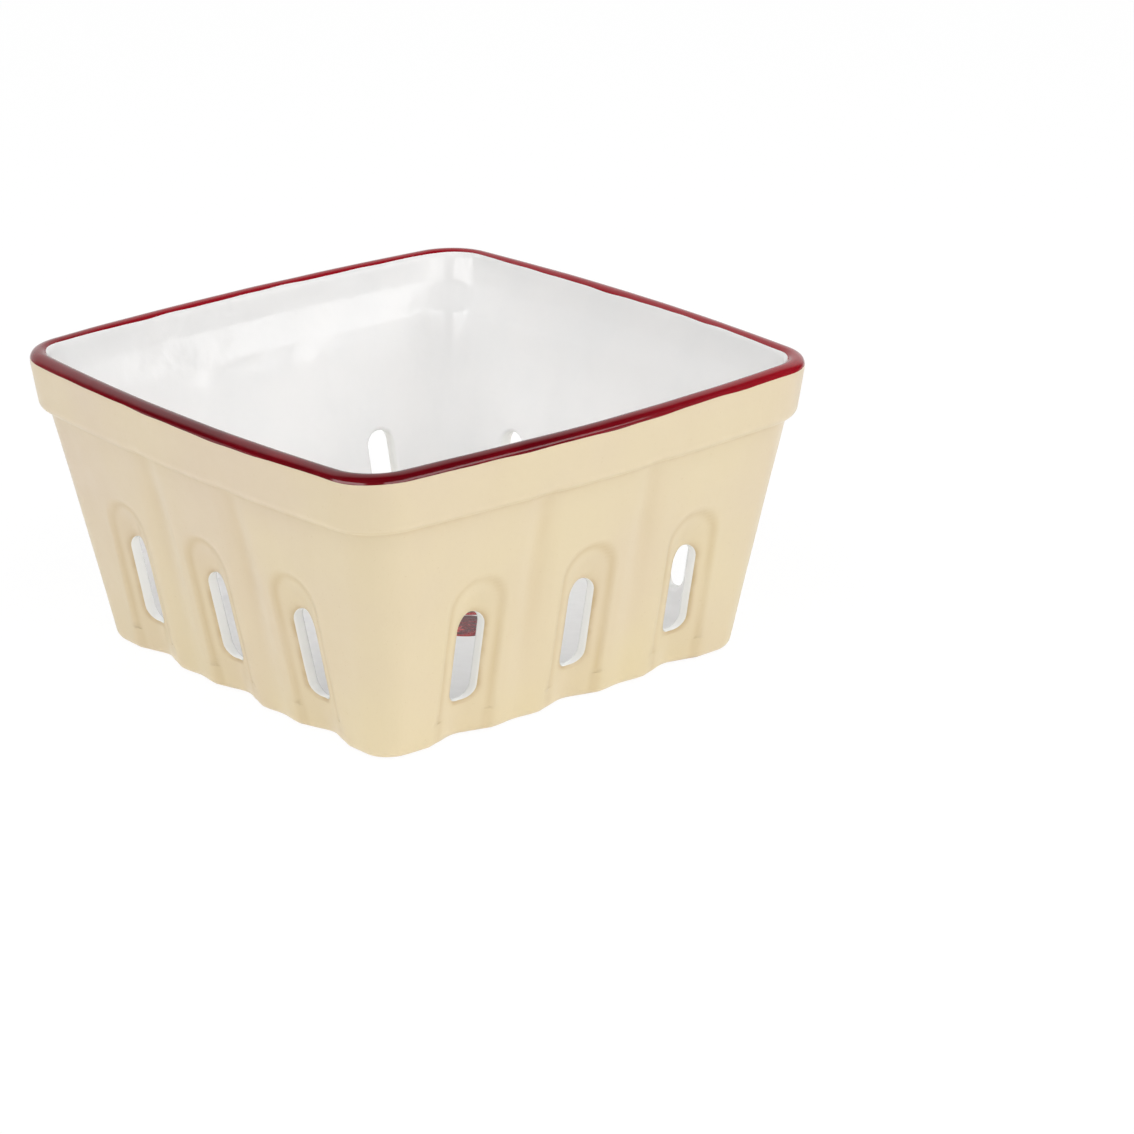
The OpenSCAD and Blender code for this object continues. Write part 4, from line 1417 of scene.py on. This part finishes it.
class SCENE_OT_bowl_stage(bpy.types.Operator):
    """Adds the pale floor, the soft lamps, the white surroundings and the camera"""
    bl_idname = "scene.bowl_stage"
    bl_label = "Stage"

    # Each lamp's name, place, width and height, power, and whether it lights the surfaces and
    # whether it shows in their gloss.
    LAMPS = (
        ("front_lamp", (0.73, -0.63, 1.15), (1.8, 1.8), 14.2, True, False),
        ("back_lamp", (-0.80, 0.70, 1.00), (1.2, 1.2), 4.5, True, False),
        ("left_lamp", (-0.45, -1.00, 1.00), (1.3, 1.3), 8.0, True, False),
        ("right_lamp", (1.00, 0.45, 1.00), (1.2, 1.2), 5.2, True, False),
        ("low_right_lamp", (1.15, 0.35, 0.50), (1.1, 0.8), 0.6, True, False),
        ("side_lamp", (0.95, 0.80, 0.60), (0.8, 0.4), 3.0, True, False),
        ("left_shine", (0.06, -1.20, 0.42), (1.4, 0.35), 9.0, False, True),
        ("right_shine", (1.19, 0.17, 0.46), (1.5, 0.35), 6.8, False, True),
    )
    AIM = (0.0, 0.0, 0.04)
    WHITE = (1.0, 1.0, 1.0, 1.0)
    FLOOR_COLOUR = (0.95, 0.95, 0.95, 1.0)
    FLOOR_GLOW = 0.3                      # light that the floor throws up by itself
    FLOOR_SEEN = (0.92, 0.35)             # share of it that is white, to the camera, in gloss
    FLOOR_REACH = 3.0
    FLOOR_LINES = 7
    WHITE_SIDE = (-0.820, 0.460, 0.340)   # towards the middle of the white that gloss shows
    WHITE_EDGE = (0.46, 0.78)             # dot products at which that white begins and is full

    def execute(self, context):
        settings = context.scene.bowl_stage
        self.add_floor(context)
        self.add_sky(context, settings)
        for name, place, size, power, on_matt, in_gloss in self.LAMPS:
            lamp = bpy.data.lights.new(name, "AREA")
            lamp.shape = "RECTANGLE"
            lamp.size, lamp.size_y = size
            lamp.energy = power
            holder = bpy.data.objects.new(name, lamp)
            holder.matrix_world = facing(place, self.AIM)
            holder.visible_diffuse = on_matt
            holder.visible_glossy = in_gloss
            context.scene.collection.objects.link(holder)
        self.add_camera(context, settings)
        context.scene.view_settings.view_transform = "Standard"
        return {"FINISHED"}

    def add_camera(self, context, settings):
        """The camera looks along a line at its azimuth and elevation through a point that is
        moved right and up from the bowl's middle on the camera's own axes."""
        turn, rise = settings.azimuth, settings.elevation
        back = Vector((math.sin(turn) * math.cos(rise), -math.cos(turn) * math.cos(rise),
                       math.sin(rise)))
        right = Vector((math.cos(turn), math.sin(turn), 0))
        up = back.cross(right)
        aim = Vector((0, 0, settings.aim_height)) + right * settings.aim_right
        aim += up * settings.aim_up
        cos, sin = math.cos(settings.roll), math.sin(settings.roll)
        axes = (right * cos + up * sin, up * cos - right * sin, back)
        data = bpy.data.cameras.new("camera")
        data.sensor_width = 36
        data.lens = settings.lens
        data.clip_start = 0.05
        camera = bpy.data.objects.new("camera", data)
        pose = Matrix(axes).transposed().to_4x4()
        pose.translation = aim + back * settings.distance
        camera.matrix_world = pose
        context.scene.collection.objects.link(camera)
        context.scene.camera = camera

    def add_floor(self, context):
        """A flat floor that is white to the camera and in gloss, and keeps a soft shadow."""
        side = np.linspace(-self.FLOOR_REACH, self.FLOOR_REACH, self.FLOOR_LINES)
        x, y = np.meshgrid(side, side, indexing="ij")
        points = np.dstack([x, y, np.zeros_like(x)]).reshape(-1, 3)
        quads = grid_quads(np.arange(x.size).reshape(x.shape))
        mesh = bpy.data.meshes.new("floor")
        mesh.from_pydata(points.tolist(), [], quads.tolist())
        material = bpy.data.materials.new("pale_floor")
        material.use_nodes = True
        tree = material.node_tree
        tree.nodes.clear()
        plain = add_node(tree, "ShaderNodeBsdfDiffuse", {"Color": self.FLOOR_COLOUR})
        glow, bright = (add_node(tree, "ShaderNodeEmission",
                                 {"Color": self.WHITE, "Strength": strength})
                        for strength in (self.FLOOR_GLOW, 1.0))
        lit = add_node(tree, "ShaderNodeAddShader", {0: plain.outputs[0], 1: glow.outputs[0]})
        both = add_node(tree, "ShaderNodeMixShader", {0: seen_directly(tree, *self.FLOOR_SEEN),
                                                      1: lit.outputs[0],
                                                      2: bright.outputs[0]})
        add_node(tree, "ShaderNodeOutputMaterial", {"Surface": both.outputs[0]})
        mesh.materials.append(material)
        floor = bpy.data.objects.new("floor", mesh)
        context.scene.collection.objects.link(floor)

    def add_sky(self, context, settings):
        """White all round for the camera and a plain even light elsewhere. In gloss it is
        white behind the bowl and over it, where a direction's dot product with the middle of
        that side is past the white's edge, and dim in front."""
        world = bpy.data.worlds.new("studio")
        world.use_nodes = True
        tree = world.node_tree
        tree.nodes.clear()
        direction = add_node(tree, "ShaderNodeTexCoord").outputs["Generated"]
        towards = measured(tree, direction, self.WHITE_SIDE)
        in_gloss = spread(tree, towards, *self.WHITE_EDGE, settings.gloss, 1.0)
        strength = combine(tree, "MAXIMUM", seen_directly(tree, 1.0, in_gloss), settings.sky)
        sky = add_node(tree, "ShaderNodeBackground", {"Color": self.WHITE,
                                                      "Strength": strength})
        add_node(tree, "ShaderNodeOutputWorld", {"Surface": sky.outputs[0]})
        context.scene.world = world


def seen_directly(tree, by_camera, in_gloss):
    """One number for rays from the camera, another off gloss, and 0 for the others."""
    path = add_node(tree, "ShaderNodeLightPath").outputs
    return combine(tree, "MAXIMUM", combine(tree, "MULTIPLY", path["Is Camera Ray"], by_camera),
                   combine(tree, "MULTIPLY", path["Is Glossy Ray"], in_gloss))


class BowlPanel(bpy.types.Panel):
    """Lists the bowl's pieces in the order in which they are made"""
    bl_idname = "VIEW3D_PT_bowl"
    bl_label = "Berry Colander Bowl"
    bl_space_type = "VIEW_3D"
    bl_region_type = "UI"
    bl_category = "Bowl"

    def draw(self, context):
        for operator in OPERATORS:
            self.layout.operator(operator.bl_idname)
        for group in GROUPS:
            values = getattr(context.scene, group)
            box = self.layout.box()
            for name in type(values).__annotations__:
                box.prop(values, name)


OPERATORS = (
    MESH_OT_bowl_clay,
    MESH_OT_bowl_exterior,
    MESH_OT_bowl_underside,
    MESH_OT_bowl_interior,
    MESH_OT_bowl_slots,
    MESH_OT_bowl_band,
    MESH_OT_bowl_berries,
    MESH_OT_bowl_leaves,
    MESH_OT_bowl_stems,
    SCENE_OT_bowl_stage,
)
GROUPS = {
    "bowl_sizes": BowlSizes,
    "sprig_sizes": SprigSizes,
    "bowl_colours": BowlColours,
    "bowl_stage": StageSettings,
}


def register():
    for cls in (*GROUPS.values(), *OPERATORS, BowlPanel):
        bpy.utils.register_class(cls)
    for name, group in GROUPS.items():
        setattr(bpy.types.Scene, name, PointerProperty(type=group))


def unregister():
    for name in GROUPS:
        delattr(bpy.types.Scene, name)
    for cls in reversed((*GROUPS.values(), *OPERATORS, BowlPanel)):
        bpy.utils.unregister_class(cls)


def main():
    register()
    for operator in OPERATORS:
        category, name = operator.bl_idname.split(".")
        getattr(getattr(bpy.ops, category), name)()


if __name__ == "__main__":
    main()
